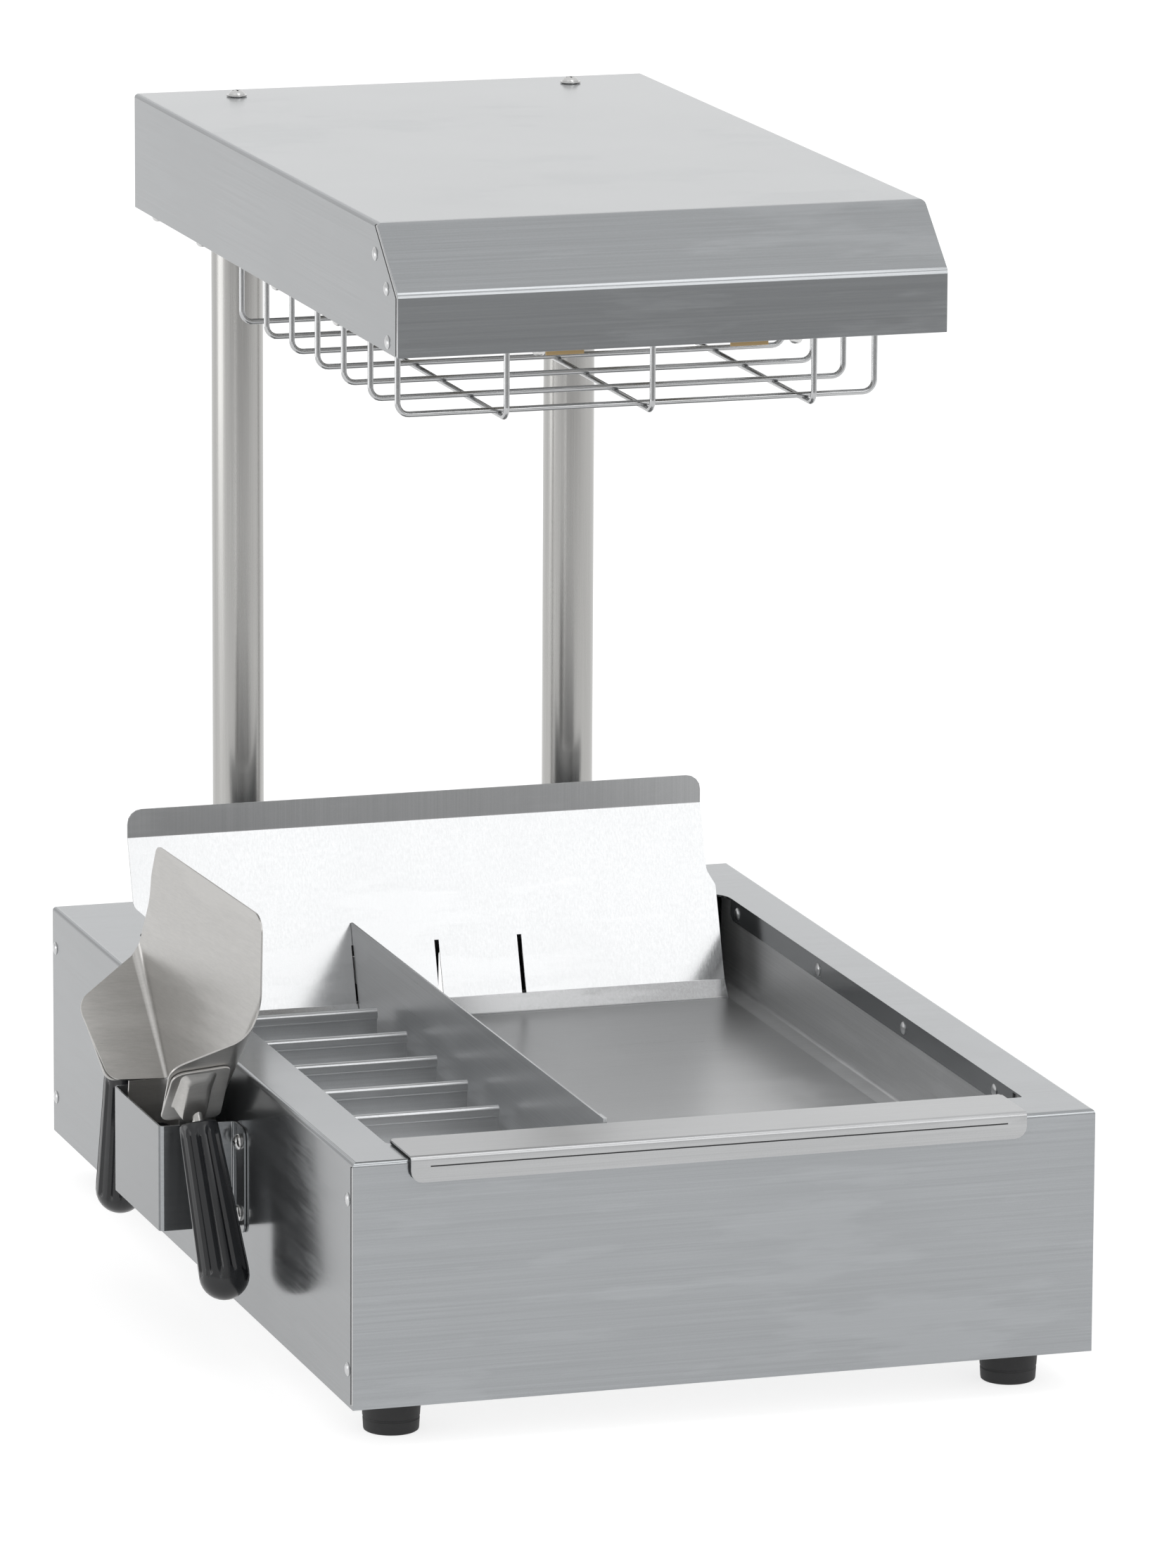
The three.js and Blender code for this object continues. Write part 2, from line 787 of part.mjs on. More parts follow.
// Terminal block on the bottom pan, with a groove for each way
function makeTerminalBlock() {
  let body = box(
    blockX - blockLength / 2, blockX + blockLength / 2,
    blockY - blockWidth / 2, blockY + blockWidth / 2,
    panTop + gap, panTop + gap + blockHeight,
  );
  for (let i = 0; i < blockWays; i += 1) {
    const x = blockX + (i - (blockWays - 1) / 2) * blockLength / blockWays;
    body = body.subtract(box(
      x - blockGroove / 2, x + blockGroove / 2, blockY - blockWidth, blockY,
      panTop + blockHeight - blockGroove, panTop + blockHeight + overrun,
    ));
  }
  piece('terminal_block', body, ceramic());
}

// Posts, the plug in each end, the screw under each and the screw on the hood above each
function makePosts() {
  const leadHoleTop = hoodTop - leadHoleToTop;
  for (const [name, side] of [['left', -1], ['right', 1]]) {
    const x = side * postX;
    const tube = solid(turned([
      [postInner, postBottom], [postRadius, postBottom], [postRadius, postTop], [postInner, postTop],
      [postInner, postBottom],
    ]).translate(x, postY, 0));
    const hole = leadRadius + holeSlack;
    const tools = side < 0
      ? [
        lyingX(rod(hole, 0, postRadius + overrun), 1, x, postY, leadLow),
        solid(rod(hole, 0, postRadius + overrun).rotateX(Math.PI / 2).translate(x, postY, leadHoleTop)),
      ]
      : [];
    piece(`post_${name}`, cut(tube, ...tools), brushed());
    const plug = (low) => turned([
      [screwRadius + gap, low], [postInner - gap, low], [postInner - gap, low + plugLength],
      [screwRadius + gap, low + plugLength], [screwRadius + gap, low],
    ], pinSides);
    piece(`post_plug_${name}_bottom`, upright(plug(postBottom), x, postY), inner());
    piece(`post_plug_${name}_top`, upright(plug(postTop - plugLength), x, postY), inner());
    const under = footHeight - gap;
    const screw = turned([
      [0, under - bottomHeadHeight], [bottomHeadRadius, under - bottomHeadHeight], [bottomHeadRadius, under],
      [screwRadius, under], [screwRadius, under + screwLength], [0, under + screwLength],
    ], pinSides);
    piece(`post_screw_${name}`, upright(screw, x, postY), bright());
    const over = hoodTop + gap;
    const hoodScrew = turned([
      [0, over - screwLength], [screwRadius, over - screwLength], [screwRadius, over], [washerRadius, over],
      [washerRadius, over + washerThickness], [topHeadRadius, over + washerThickness],
      [topHeadRadius * headShoulderShare, over + washerThickness + topHeadHeight * headRiseShare],
      [topHeadRadius * headCrownShare, over + washerThickness + topHeadHeight],
      [0, over + washerThickness + topHeadHeight],
    ], midSides);
    piece(`hood_screw_${name}`, upright(hoodScrew, x, postY), bright());
  }
  const start = [blockX - blockLength / 2 - gap, blockY, panTop + blockHeight / 2];
  const path = [
    start,
    [start[0] - leadBend, blockY, start[2]],
    [-postX + postRadius + leadBend, postY, leadLow],
    [-postX, postY, leadLow],
    [-postX, postY, leadHoleTop],
    [-postX, postY - postRadius - leadRun, leadHoleTop],
  ];
  piece('hood_lead', wire(path, leadRadius, leadBendRadius, rodSides), black());
}

// Hood shell: top, slanted brow, front and rear in one sheet, sides folded down from the top
function hoodBlock(inset, bottom) {
  const half = hoodHalf - inset;
  const top = hoodTop - inset;
  const slope = Math.atan2(hoodSlantDrop, hoodSlantRun);
  const browShift = inset * Math.tan(slope / 2);
  const faceShift = inset * Math.tan((Math.PI / 2 - slope) / 2);
  const side = outline([
    [hoodFront + inset, bottom, 0],
    [hoodRear - inset, bottom, 0],
    [hoodRear - inset, top, bend - inset],
    [hoodBrow + browShift, top, hoodBend - inset],
    [hoodFront + inset, top - hoodSlantDrop + inset - faceShift, hoodBend - inset],
  ]);
  const front = outline([
    [-half, bottom, 0], [half, bottom, 0], [half, top, bend - inset], [-half, top, bend - inset],
  ]);
  return prismX(side, -half, half).intersect(prismY(front, hoodFront + inset, hoodRear - inset));
}

function makeHood() {
  const shell = cut(hoodBlock(0, hoodBottom), hoodBlock(sheet, hoodBottom - overrun));
  const [flangeFront, flangeRear] = [hoodFront + sheet / 2, hoodRear - sheet / 2];
  const flange = (from, to) => box(from, to, flangeFront, flangeRear, hoodBottom, hoodFlangeTop);
  let body = join(
    shell,
    flange(-hoodHalf + sheet / 2, -hoodHalf + hoodFlange),
    flange(hoodHalf - hoodFlange, hoodHalf - sheet / 2),
  );
  for (const side of [-1, 1]) {
    const hole = rod(screwRadius + gap, hoodTop - overrun, hoodTop + overrun);
    body = body.subtract(upright(hole, side * postX, postY));
  }
  piece('hood_shell', body, brushed());
  const panelHalf = hoodHalf - sheet - gap;
  let panel = box(
    -panelHalf, panelHalf, hoodPanelFront, hoodRear - sheet - gap, hoodPanelBottom, hoodPanelBottom + sheet,
  );
  for (const side of [-1, 1]) {
    const hole = rod(postRadius + gap, hoodPanelBottom - overrun, hoodPanelBottom + overrun, roundSides);
    panel = panel.subtract(upright(hole, side * postX, postY));
  }
  piece('hood_bottom_panel', panel, inner());
}

// Reflector folded over the heating tubes, and a bracket at each end of each tube
function makeHeater() {
  const flangeHalf = hoodHalf - sheet - gap;
  const low = hoodPanelBottom + sheet / 2;
  const high = low + reflectorRise;
  const line = [
    [-flangeHalf, low], [-reflectorFlangeInner, low], [-reflectorTopHalf, high],
    [reflectorTopHalf, high], [reflectorFlangeInner, low], [flangeHalf, low],
  ];
  const front = hoodFront + sheet + gap;
  piece('reflector', prismY(folded(line), front, reflectorRear), bright());
  const under = high - sheet / 2 - gap;
  for (const [name, side] of [['left', -1], ['right', 1]]) {
    const x = tubeShift + side * tubeSpacing / 2;
    const length = tubeRear - tubeFront;
    const tube = turned([
      [0, 0], [tubeCapRadius, 0], [tubeCapRadius, tubeCapLength], [tubeRadius, tubeCapLength],
      [tubeRadius, length - tubeCapLength], [tubeCapRadius, length - tubeCapLength],
      [tubeCapRadius, length], [0, length],
    ], midSides);
    piece(`heating_tube_${name}`, lyingY(tube, x, tubeFront, tubeHeight), ceramic());
    for (const [end, y, inward] of [
      ['front', tubeFront + bracketFromEnd, 1],
      ['rear', tubeRear - bracketFromEnd, -1],
    ]) {
      const face = y - inward * bracketThickness / 2;
      const [plateFrom, plateTo] = ordered(face, face + inward * bracketThickness);
      const [footFrom, footTo] = ordered(face, face + inward * bracketFlange);
      const left = x - bracketWidth / 2;
      const right = x + bracketWidth / 2;
      const plate = box(left, right, plateFrom, plateTo, hoodBottom - bracketBelow, under);
      const foot = box(left, right, footFrom, footTo, under - bracketThickness, under);
      const hole = lyingY(rod(tubeCapRadius + gap, -overrun, overrun, midSides), x, y, tubeHeight);
      piece(`tube_bracket_${name}_${end}`, cut(join(plate, foot), hole), bronze());
    }
  }
}

// Wire guard: hoops across, long wires under them, and a side rail along the hoops' ends
function makeGuard() {
  const railHeight = hoodPanelBottom - gap - wireRadius;
  const last = guardFirst + (guardHoops - 1) * guardPitch;
  const bodies = [];
  for (let i = 0; i < guardHoops; i += 1) {
    const y = guardFirst + i * guardPitch;
    bodies.push(wire([
      [-guardHalfWidth, y, railHeight], [-guardHalfWidth, y, guardHeight],
      [guardHalfWidth, y, guardHeight], [guardHalfWidth, y, railHeight],
    ], wireRadius, wireBend));
  }
  const low = guardHeight - 2 * wireRadius + weldSink;
  for (const x of longWireCentres) {
    bodies.push(wire([
      [x, guardFirst - longWireOverhang, hoodPanelBottom], [x, guardFirst - longWireOverhang, low],
      [x, last + longWireOverhang, low], [x, last + longWireOverhang, hoodPanelBottom],
    ], wireRadius, wireBend));
  }
  for (const side of [-1, 1]) {
    const x = side * (guardHalfWidth - wireRadius);
    bodies.push(wire([
      [x, guardFirst - longWireOverhang, railHeight], [x, last + longWireOverhang, railHeight],
    ], wireRadius, wireBend));
  }
  piece('wire_guard', join(...bodies), bright());
}

// Scoop holders: a box open at the top, with a flange each way against the casing's side
function makeHolders() {
  for (const [name, side] of [['left', -1], ['right', 1]]) {
    const wall = (reach) => side * (casingHalf + reach);
    const flangeX = wall(gap + sheet / 2);
    const outerX = wall(holderReach - sheet / 2);
    const front = holderFront + sheet / 2;
    const rear = holderFront + holderLength - sheet / 2;
    const flangeFront = holderFront - holderFlange;
    const flangeRear = holderFront + holderLength + holderFlange;
    const plan = folded([
      [flangeX, flangeFront], [flangeX, front], [outerX, front],
      [outerX, rear], [flangeX, rear], [flangeX, flangeRear],
    ]);
    const face = outline(
      rectangle(flangeFront, flangeRear, holderBottom, holderTop),
      holderFlangeCorner,
    );
    const [near, far] = ordered(wall(-overrun), wall(holderReach + overrun));
    const [floorNear, floorFar] = ordered(wall(gap), outerX);
    let body = join(
      prismZ(plan, holderBottom, holderTop).intersect(prismX(face, near, far)),
      box(floorNear, floorFar, front, rear, holderBottom, holderBottom + sheet),
    );
    for (const { name: place, y, z } of holderScrewPlaces(side)) {
      const hole = rod(holderScrewRadius + gap, -overrun, overrun);
      body = body.subtract(lyingX(hole, side, wall(gap), y, z));
      if (place.startsWith('front')) {
        const head = gap + sheet + gap;
        const screw = turned([
          [0, head - holderScrewReach], [holderScrewRadius, head - holderScrewReach],
          [holderScrewRadius, head], [holderHeadRadius, head],
          [holderHeadRadius * headShoulderShare, head + holderHeadHeight * headRiseShare],
          [holderHeadRadius * headCrownShare, head + holderHeadHeight], [0, head + holderHeadHeight],
        ], pinSides);
        const height = place.replace('front_', '');
        piece(`holder_screw_${name}_${height}`, lyingX(screw, side, wall(0), y, z), bright());
      }
    }
    piece(`scoop_holder_${name}`, body, brushed());
  }
}

// The scoop's own directions: along the casing's side, up, and outward from it, as it hangs askew
const scoopCentre = holderFront + holderLength / 2;
const scoopTurn = new THREE.Euler(
  THREE.MathUtils.degToRad(scoopRoll),
  THREE.MathUtils.degToRad(scoopLean),
  THREE.MathUtils.degToRad(scoopYaw),
  'ZXY',
);
const scoopFrame = new THREE.Matrix4()
  .makeBasis(axisY, axisZ, axisX)
  .premultiply(new THREE.Matrix4().makeScale(-1, 1, 1))
  .premultiply(new THREE.Matrix4().makeRotationFromEuler(scoopTurn))
  .setPosition(-casingHalf - scoopStandOff, scoopCentre - scoopForward, scoopApexHeight);

// The scoop's plates: (v, u) along and up, n outward, placed on the casing's left side
function scoopPlate(points, from, to, matrix = new THREE.Matrix4()) {
  const plate = extruded(points, to - from).translate(0, 0, from).applyMatrix4(matrix);
  return solid(flipped(plate.applyMatrix4(scoopFrame)));
}

// A mirrored geometry with its faces turned out again
function flipped(geometry) {
  const position = geometry.getAttribute('position');
  const turnedRound = [];
  for (let i = 0; i < position.count; i += 3) {
    for (const k of [i, i + 2, i + 1]) {
      turnedRound.push(position.getX(k), position.getY(k), position.getZ(k));
    }
  }
  const made = new THREE.BufferGeometry();
  made.setAttribute('position', new THREE.Float32BufferAttribute(turnedRound, 3));
  return made;
}

const foldStart = new THREE.Vector2(scoopHalfWidth, 0);
const foldEnd = new THREE.Vector2(throatHalfWidth, -throatDrop);
const foldLength = foldStart.distanceTo(foldEnd);

// A flap's directions, from the apex down the fold, outward, and across its thickness
function flapMatrix(side) {
  const along = new THREE.Vector3(side * (foldEnd.x - foldStart.x), foldEnd.y - foldStart.y, 0).normalize();
  const out = new THREE.Vector3(0, 0, 1);
  const across = along.clone().cross(out);
  const apex = new THREE.Vector3(side * foldStart.x, foldStart.y, 0);
  return new THREE.Matrix4().makeBasis(along, out, across).setPosition(apex);
}

function makeScoop() {
  const floor = outline([
    [-throatHalfWidth, -throatBottomDrop, 0], [throatHalfWidth, -throatBottomDrop, 0],
    [throatHalfWidth, -throatDrop, 0], [scoopHalfWidth, 0, 0],
    [scoopLipHalfWidth, scoopLipRise, scoopLipCorner], [-scoopLipHalfWidth, scoopLipRise, scoopLipCorner],
    [-scoopHalfWidth, 0, 0], [-throatHalfWidth, -throatDrop, 0],
  ]);
  const bodies = [scoopPlate(floor, 0, sheet)];
  for (const side of [-1, 1]) {
    const flap = outline([
      [0, 0, 0], [flapPeakAlong, flapPeakHeight, flapPeakCorner],
      [flapLowAlong, flapLowHeight, flapLowCorner], [foldLength, 0, 0],
    ]);
    const inward = side > 0 ? 0 : -sheet;
    bodies.push(scoopPlate(flap, inward, inward + sheet, flapMatrix(side)));
    const [left, right] = ordered(side * throatHalfWidth, side * (throatHalfWidth - sheet));
    const wall = rectangle(left, right, -throatBottomDrop, -throatDrop + sheet);
    bodies.push(scoopPlate(wall, 0, throatDepth));
  }
  piece('scoop_blade', join(...bodies), brushed());
}

// A handle on each flap: a plate with a socket that grows towards the grip, a tang, and a grip
function makeHandles() {
  for (const [name, side] of [['front', -1], ['rear', 1]]) {
    const outward = -side;
    const layer = (points, from, to) => {
      const [low, high] = ordered(outward * from, outward * to);
      return scoopPlate(points, low, high, flapMatrix(side));
    };
    const plate = outline(
      rectangle(
        plateAlong - plateLength / 2, plateAlong + plateLength / 2,
        plateHeight - plateWidth / 2, plateHeight + plateWidth / 2,
      ),
      plateCorner,
      smallArcSteps,
    );
    const face = gap + plateThickness;
    const socket = outline([
      [socketStart, outward * (face - plateThickness / 2)], [socketStart, outward * (face + socketBrow)],
      [socketEnd, outward * (face + socketRise)], [socketEnd, outward * (face - plateThickness / 2)],
    ]);
    const socketLow = -plateHeight - socketWidth / 2;
    const root = new THREE.Vector3(tangAlong, plateHeight, outward * tangRise)
      .applyMatrix4(flapMatrix(side))
      .applyMatrix4(scoopFrame);
    const top = new THREE.Vector3(
      -casingHalf - gripTopOut - side * gripTopSkew, scoopCentre + side * gripTopSide, gripTopHeight,
    );
    const splay = THREE.MathUtils.degToRad(gripSplay);
    const inward = THREE.MathUtils.degToRad(gripLean);
    const down = new THREE.Vector3(Math.sin(inward), side * Math.sin(splay), -Math.cos(splay)).normalize();
    const tip = top.clone().addScaledVector(down, gripBore - gap);
    const elbow = top.clone().addScaledVector(down, -tangElbow);
    const tang = wire([root, elbow, tip].map((p) => p.toArray()), tangRadius, tangBend, rodSides);
    const body = join(
      layer(plate, gap, face),
      scoopPlate(socket, socketLow, socketLow + socketWidth, flapMatrix(side).multiply(standY)),
      tang,
    );
    piece(`handle_plate_${name}`, body, bright());
    const round = gripBottomRadius;
    const tipCentre = gripLength - round;
    const profile = [
      [0, -gripBore], [tangRadius + gap, -gripBore], [tangRadius + gap, 0], [gripTopRadius, 0],
      [gripBottomRadius, -tipCentre],
    ];
    for (let k = 1; k < gripEndSteps; k += 1) {
      const angle = Math.PI / 2 * k / gripEndSteps;
      profile.push([round * Math.cos(angle), -tipCentre - round * Math.sin(angle)]);
    }
    profile.push([0, -gripLength]);
    const turn = new THREE.Quaternion().setFromUnitVectors(axisZ.clone().negate(), down);
    const grip = turned(profile.reverse(), midSides).applyQuaternion(turn).translate(...top.toArray());
    piece(`handle_grip_${name}`, solid(grip), black());
  }
}

// Insert: lip over the front rail, front wall, floor, band and leaning splash plate, in one folded sheet
const splashAngle = THREE.MathUtils.degToRad(splashLean);
const insertFloorMid = insertFloor + sheet / 2;
const bandTopY = bandStart + bandRun;
const bandTopZ = insertFloorMid + bandRise;
const creaseZ = footHeight + splashCreaseHeight;
const creaseY = bandTopY + (creaseZ - bandTopZ) * Math.tan(splashAngle);
const splashTopZ = creaseZ + splashTopBand;
const splashHalfSkin = sheet / 2 / Math.cos(splashAngle);
const splashFaceY = (z) => bandTopY + (z - bandTopZ) * Math.tan(splashAngle) - splashHalfSkin;

function makeInsert() {
  const lipMid = insertLipTop - sheet / 2;
  const flangeMid = lipFront + sheet / 2;
  const flangeBottom = insertLipTop - lipFlange;
  const line = [
    [flangeMid, flangeBottom], [flangeMid, lipMid], [frontWallPlace, lipMid],
    [frontWallPlace, insertFloorMid], [bandStart, insertFloorMid], [bandTopY, bandTopZ],
    [creaseY, creaseZ], [creaseY, splashTopZ],
  ];
  const halfSplash = splashWidth / 2;
  const splashLeft = insertShift + splashShift - halfSplash;
  const splashRight = insertShift + splashShift + halfSplash;
  const halfLip = insertWidth / 2;
  const halfWell = insertWellWidth / 2;
  const reachLeft = Math.min(insertShift - halfLip, splashLeft) - overrun;
  const reachRight = Math.max(insertShift + halfLip, splashRight) + overrun;
  const blank = prismX(folded(line), reachLeft, reachRight);
  const stepLow = footHeight + splashStepLow;
  const stepHigh = footHeight + splashStepHigh;
  const lipFace = outline([
    [insertShift - halfLip, flangeBottom, lipCorner],
    [insertShift + halfLip, flangeBottom, lipCorner],
    [insertShift + halfLip, insertLipTop + overrun, 0],
    [insertShift - halfLip, insertLipTop + overrun, 0],
  ]);
  const wellFace = outline([
    [insertShift - halfWell, insertFloor - overrun, 0],
    [insertShift + halfWell, insertFloor - overrun, 0],
    [insertShift + halfWell, stepLow, splashStepLowCorner],
    [splashRight, stepHigh, splashStepHighCorner],
    [splashRight, splashTopZ, splashTopCorner],
    [splashLeft, splashTopZ, splashTopCorner],
    [splashLeft, stepHigh, splashStepHighCorner],
    [insertShift - halfWell, stepLow, splashStepLowCorner],
  ]);
  const lipEnd = openingFront + gap;
  let body = join(
    blank.intersect(prismY(lipFace, lipFront - overrun, lipEnd)),
    blank.intersect(prismY(wellFace, lipEnd - gap / 2, creaseY + overrun)),
  );
  const slotTop = footHeight + slotHeight;
  for (let i = 0; i < slotCount; i += 1) {
    const x = insertShift + slotShift + (i - (slotCount - 1) / 2) * slotPitch;
    const [left, right] = [x - slotWidth / 2, x + slotWidth / 2];
    body = body.subtract(box(left, right, bandStart - slotCutReach, creaseY + overrun, bandTopZ, slotTop));
  }
  piece('insert_pan', body, brushed());
}

// Partition: an upright sheet with a foot, a folded front end and a tab in the left slot
function makePartition() {
  const bottom = insertFloor + sheet + gap;
  const top = footHeight + partitionTop;
  const front = frontWallPlace + sheet / 2 + partitionClear;
  const rearAt = (z) => splashFaceY(z) - partitionClear;
  const bandFace = bandStart - partitionClear - sheet;
  const side = outline([
    [front, bottom, 0], [bandFace, bottom, 0], [rearAt(bandTopZ), bandTopZ + partitionClear, 0],
    [rearAt(top), top, 0], [front, top, 0],
  ]);
  const x0 = partitionX - sheet / 2;
  const x1 = partitionX + sheet / 2;
  const tabTop = footHeight + slotHeight - tabTopBelowSlot;
  const tabLow = tabTop - tabHeight;
  const proud = (z) => splashFaceY(z) + sheet + tabProud;
  const tab = [
    [rearAt(tabLow) - partitionClear, tabLow], [proud(tabLow), tabLow],
    [proud(tabTop), tabTop], [rearAt(tabTop) - partitionClear, tabTop],
  ];
  const body = join(
    prismX(side, x0, x1),
    prismX(tab, x0, x1),
    box(x1 - sheet / 2, x1 + sheet, front, front + partitionHem, bottom, top),
    box(x0 + sheet / 2, x0 + partitionFoot, front + partitionHem, bandFace, bottom, bottom + sheet),
  );
  piece('partition', body, brushed());
}

// Bag rack: a base sheet on the insert's floor, and upright ribs with a foot and a hemmed top
function makeRack() {
  const left = insertShift - insertWellWidth / 2 + rackEndClear;
  const right = partitionX - sheet / 2 - rackToPartition;
  const baseLow = insertFloor + sheet + gap;
  const baseTop = baseLow + sheet;
  const baseFront = rackFirst - rackBaseMargin;
  const baseRear = rackFirst + (rackRibs - 1) * rackPitch + rackBaseMargin;
  piece('bag_rack_base', box(left, right, baseFront, baseRear, baseLow, baseTop), brushed());
  for (let i = 0; i < rackRibs; i += 1) {
    const y = rackFirst + i * rackPitch;
    const low = baseTop + gap;
    const top = insertFloor + sheet + ribHeight;
    const body = join(
      box(left, right, y - sheet / 2, y + sheet / 2, low, top - ribHemOverlap),
      box(left, right, y - ribHem / 2, y + ribHem / 2, top - ribHemHeight, top),
      box(left, right, y - ribFoot, y, low, low + sheet),
    );
    piece(`bag_rack_rib_${i + 1}`, body, brushed());
  }
}

makeCasing();
makeFeet();
makeBottomPan();
makeRearPanel();
makeSwitches();
makeGland();
makeLiner();
makeBaseHeater();
makeTerminalBlock();
makePosts();
makeHood();
makeHeater();
makeGuard();
makeHolders();
makeScoop();
makeHandles();
makeInsert();
makePartition();
makeRack();

// The origin moves to the middle of the bounding box's bottom
group.updateMatrixWorld(true);
const bounds = new THREE.Box3().setFromObject(group);
const centre = bounds.getCenter(new THREE.Vector3());
group.position.set(-centre.x, -centre.y, -bounds.min.z);

export default group;
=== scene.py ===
"""Looks of a fry dump station: sheet steel, posts, wire guard, scoop, bag rack and stage."""

import math

import bmesh
import bpy
from bpy.props import FloatProperty, FloatVectorProperty, IntProperty, PointerProperty
from mathutils import Matrix, Vector


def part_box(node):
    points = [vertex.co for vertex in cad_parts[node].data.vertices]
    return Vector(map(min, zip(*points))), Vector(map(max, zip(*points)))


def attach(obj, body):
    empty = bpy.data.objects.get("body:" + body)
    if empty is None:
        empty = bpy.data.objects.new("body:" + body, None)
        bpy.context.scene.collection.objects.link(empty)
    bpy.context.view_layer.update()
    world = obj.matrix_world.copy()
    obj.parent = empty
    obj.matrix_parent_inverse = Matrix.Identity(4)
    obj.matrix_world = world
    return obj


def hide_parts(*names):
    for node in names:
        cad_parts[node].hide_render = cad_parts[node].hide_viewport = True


bl_info = {
    "name": "French Fry Dump Station",
    "version": (1, 0, 0),
    "blender": (4, 5, 0),
    "location": "3D View > Sidebar > Fry Station",
    "description": "Dresses the packed fry dump station and sets its stage",
    "category": "Object",
}

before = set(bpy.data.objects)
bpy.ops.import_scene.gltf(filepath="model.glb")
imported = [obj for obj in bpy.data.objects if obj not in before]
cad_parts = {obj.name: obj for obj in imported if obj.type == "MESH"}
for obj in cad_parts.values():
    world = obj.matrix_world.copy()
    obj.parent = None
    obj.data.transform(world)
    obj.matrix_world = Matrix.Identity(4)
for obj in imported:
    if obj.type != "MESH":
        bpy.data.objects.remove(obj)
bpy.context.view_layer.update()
casing_low, casing_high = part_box("base_casing")
hood_low, hood_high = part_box("hood_shell")

MM = 0.001
MIDDLE = (casing_low.x + casing_high.x) / 2
FRONT = casing_low.y
CASING_HALF = (casing_high.x - casing_low.x) / 2 / MM
CASING_TOP = casing_high.z / MM
HOOD_HALF = (hood_high.x - hood_low.x) / 2 / MM
HOOD_FRONT = (hood_low.y - FRONT) / MM
HOOD_BOTTOM = hood_low.z / MM
HOOD_TOP = hood_high.z / MM


def spot(x, y, z):
    """A place in millimetres: X from the casing's middle, Y from its front, Z from the floor."""
    return Vector((MIDDLE + x * MM, FRONT + y * MM, z * MM))


def facing(place, direction):
    """A matrix at a place with its Z along a direction."""
    turn = Vector(direction).to_track_quat("Z", "Y")
    return Matrix.Translation(place) @ turn.to_matrix().to_4x4()


# Settings


def number_setting(name, description, default, unit="NONE"):
    return FloatProperty(name=name, description=description, default=default, unit=unit)


def count_setting(name, description, default):
    return IntProperty(name=name, description=description, default=default)


def colour_setting(name, description, default):
    return FloatVectorProperty(name=name, description=description, default=default, subtype="COLOR")


class SheetSettings(bpy.types.PropertyGroup):
    edge_round: number_setting("Edge Round", "Rounding of the sheets' edges", 0.25 * MM, "LENGTH")
    edge_steps: count_setting("Edge Steps", "Faces across a rounded edge", 2)
    bend_round: number_setting("Bend Round", "Outer rounding of a folded sheet", 1.5 * MM, "LENGTH")
    seam_width: number_setting("Seam Width", "Gap where two sheets meet", 0.7 * MM, "LENGTH")
    rivet_radius: number_setting("Rivet Radius", "Radius of the rivet heads", 3.5 * MM, "LENGTH")
    casing_colour: colour_setting("Casing Steel", "Colour of the casing", (0.338, 0.351, 0.362))
    hood_colour: colour_setting("Hood Steel", "Colour of the hood", (0.34, 0.352, 0.362))
    insert_colour: colour_setting("Insert Steel", "Colour of the insert", (0.46, 0.465, 0.47))
    scoop_colour: colour_setting("Scoop Steel", "Colour of the scoop", (0.465, 0.457, 0.443))
    rack_colour: colour_setting("Rack Steel", "Colour of the partition and rack", (0.6, 0.61, 0.62))
    inner_colour: colour_setting("Inner Steel", "Colour of the steel inside", (0.58, 0.585, 0.59))


class FittingSettings(bpy.types.PropertyGroup):
    post_sides: count_setting("Post Sides", "Faces round a post", 72)
    wire_sides: count_setting("Wire Sides", "Faces round a wire", 12)
    wire_radius: number_setting("Wire Radius", "Radius of the guard's wires", 1.5 * MM, "LENGTH")
    wire_bend: number_setting("Wire Bend", "Bend radius of the guard's wires", 6 * MM, "LENGTH")
    flutes: count_setting("Flutes", "Grooves round each grip", 12)
    flute_depth: number_setting("Flute Depth", "Depth of a grip's grooves", 1.3 * MM, "LENGTH")
    grip_colour: colour_setting("Grip Plastic", "Colour of the grips", (0.012, 0.013, 0.015))
    foot_colour: colour_setting("Foot Rubber", "Colour of the feet", (0.02, 0.02, 0.021))
    bracket_colour: colour_setting("Bracket Bronze", "Colour of the brackets", (0.44, 0.32, 0.17))


class StageSettings(bpy.types.PropertyGroup):
    floor_colour: colour_setting("Floor", "Colour of the floor", (0.42, 0.42, 0.42))
    floor_lift: number_setting("Floor Lift", "Light that the floor adds in the picture", 0.74)
    rear_level: number_setting("Rear Level", "Light from behind", 1.08)
    top_level: number_setting("Top Level", "Light from above", 0.95)
    front_level: number_setting("Front Level", "Light from low in front", 0.66)
    front_sky: number_setting("Front Sky", "Light in front, above the floor", 0.85)
    key_power: number_setting("Key Power", "Power of the soft light in front", 5.9, "POWER")
    side_power: number_setting("Side Power", "Power of the light on the left", 5.0, "POWER")
    focal_length: FloatProperty(
        name="Focal Length", description="Focal length of the camera", default=226.55,
        subtype="DISTANCE_CAMERA",
    )


class StationSettings(bpy.types.PropertyGroup):
    sheets: PointerProperty(type=SheetSettings)
    fittings: PointerProperty(type=FittingSettings)
    stage: PointerProperty(type=StageSettings)


# Shader values and nodes


def found(sockets, key):
    """The socket with an index, identifier or name."""
    if isinstance(key, int):
        return sockets[key]
    for socket in sockets:
        if socket.identifier == key:
            return socket
    return sockets[key]


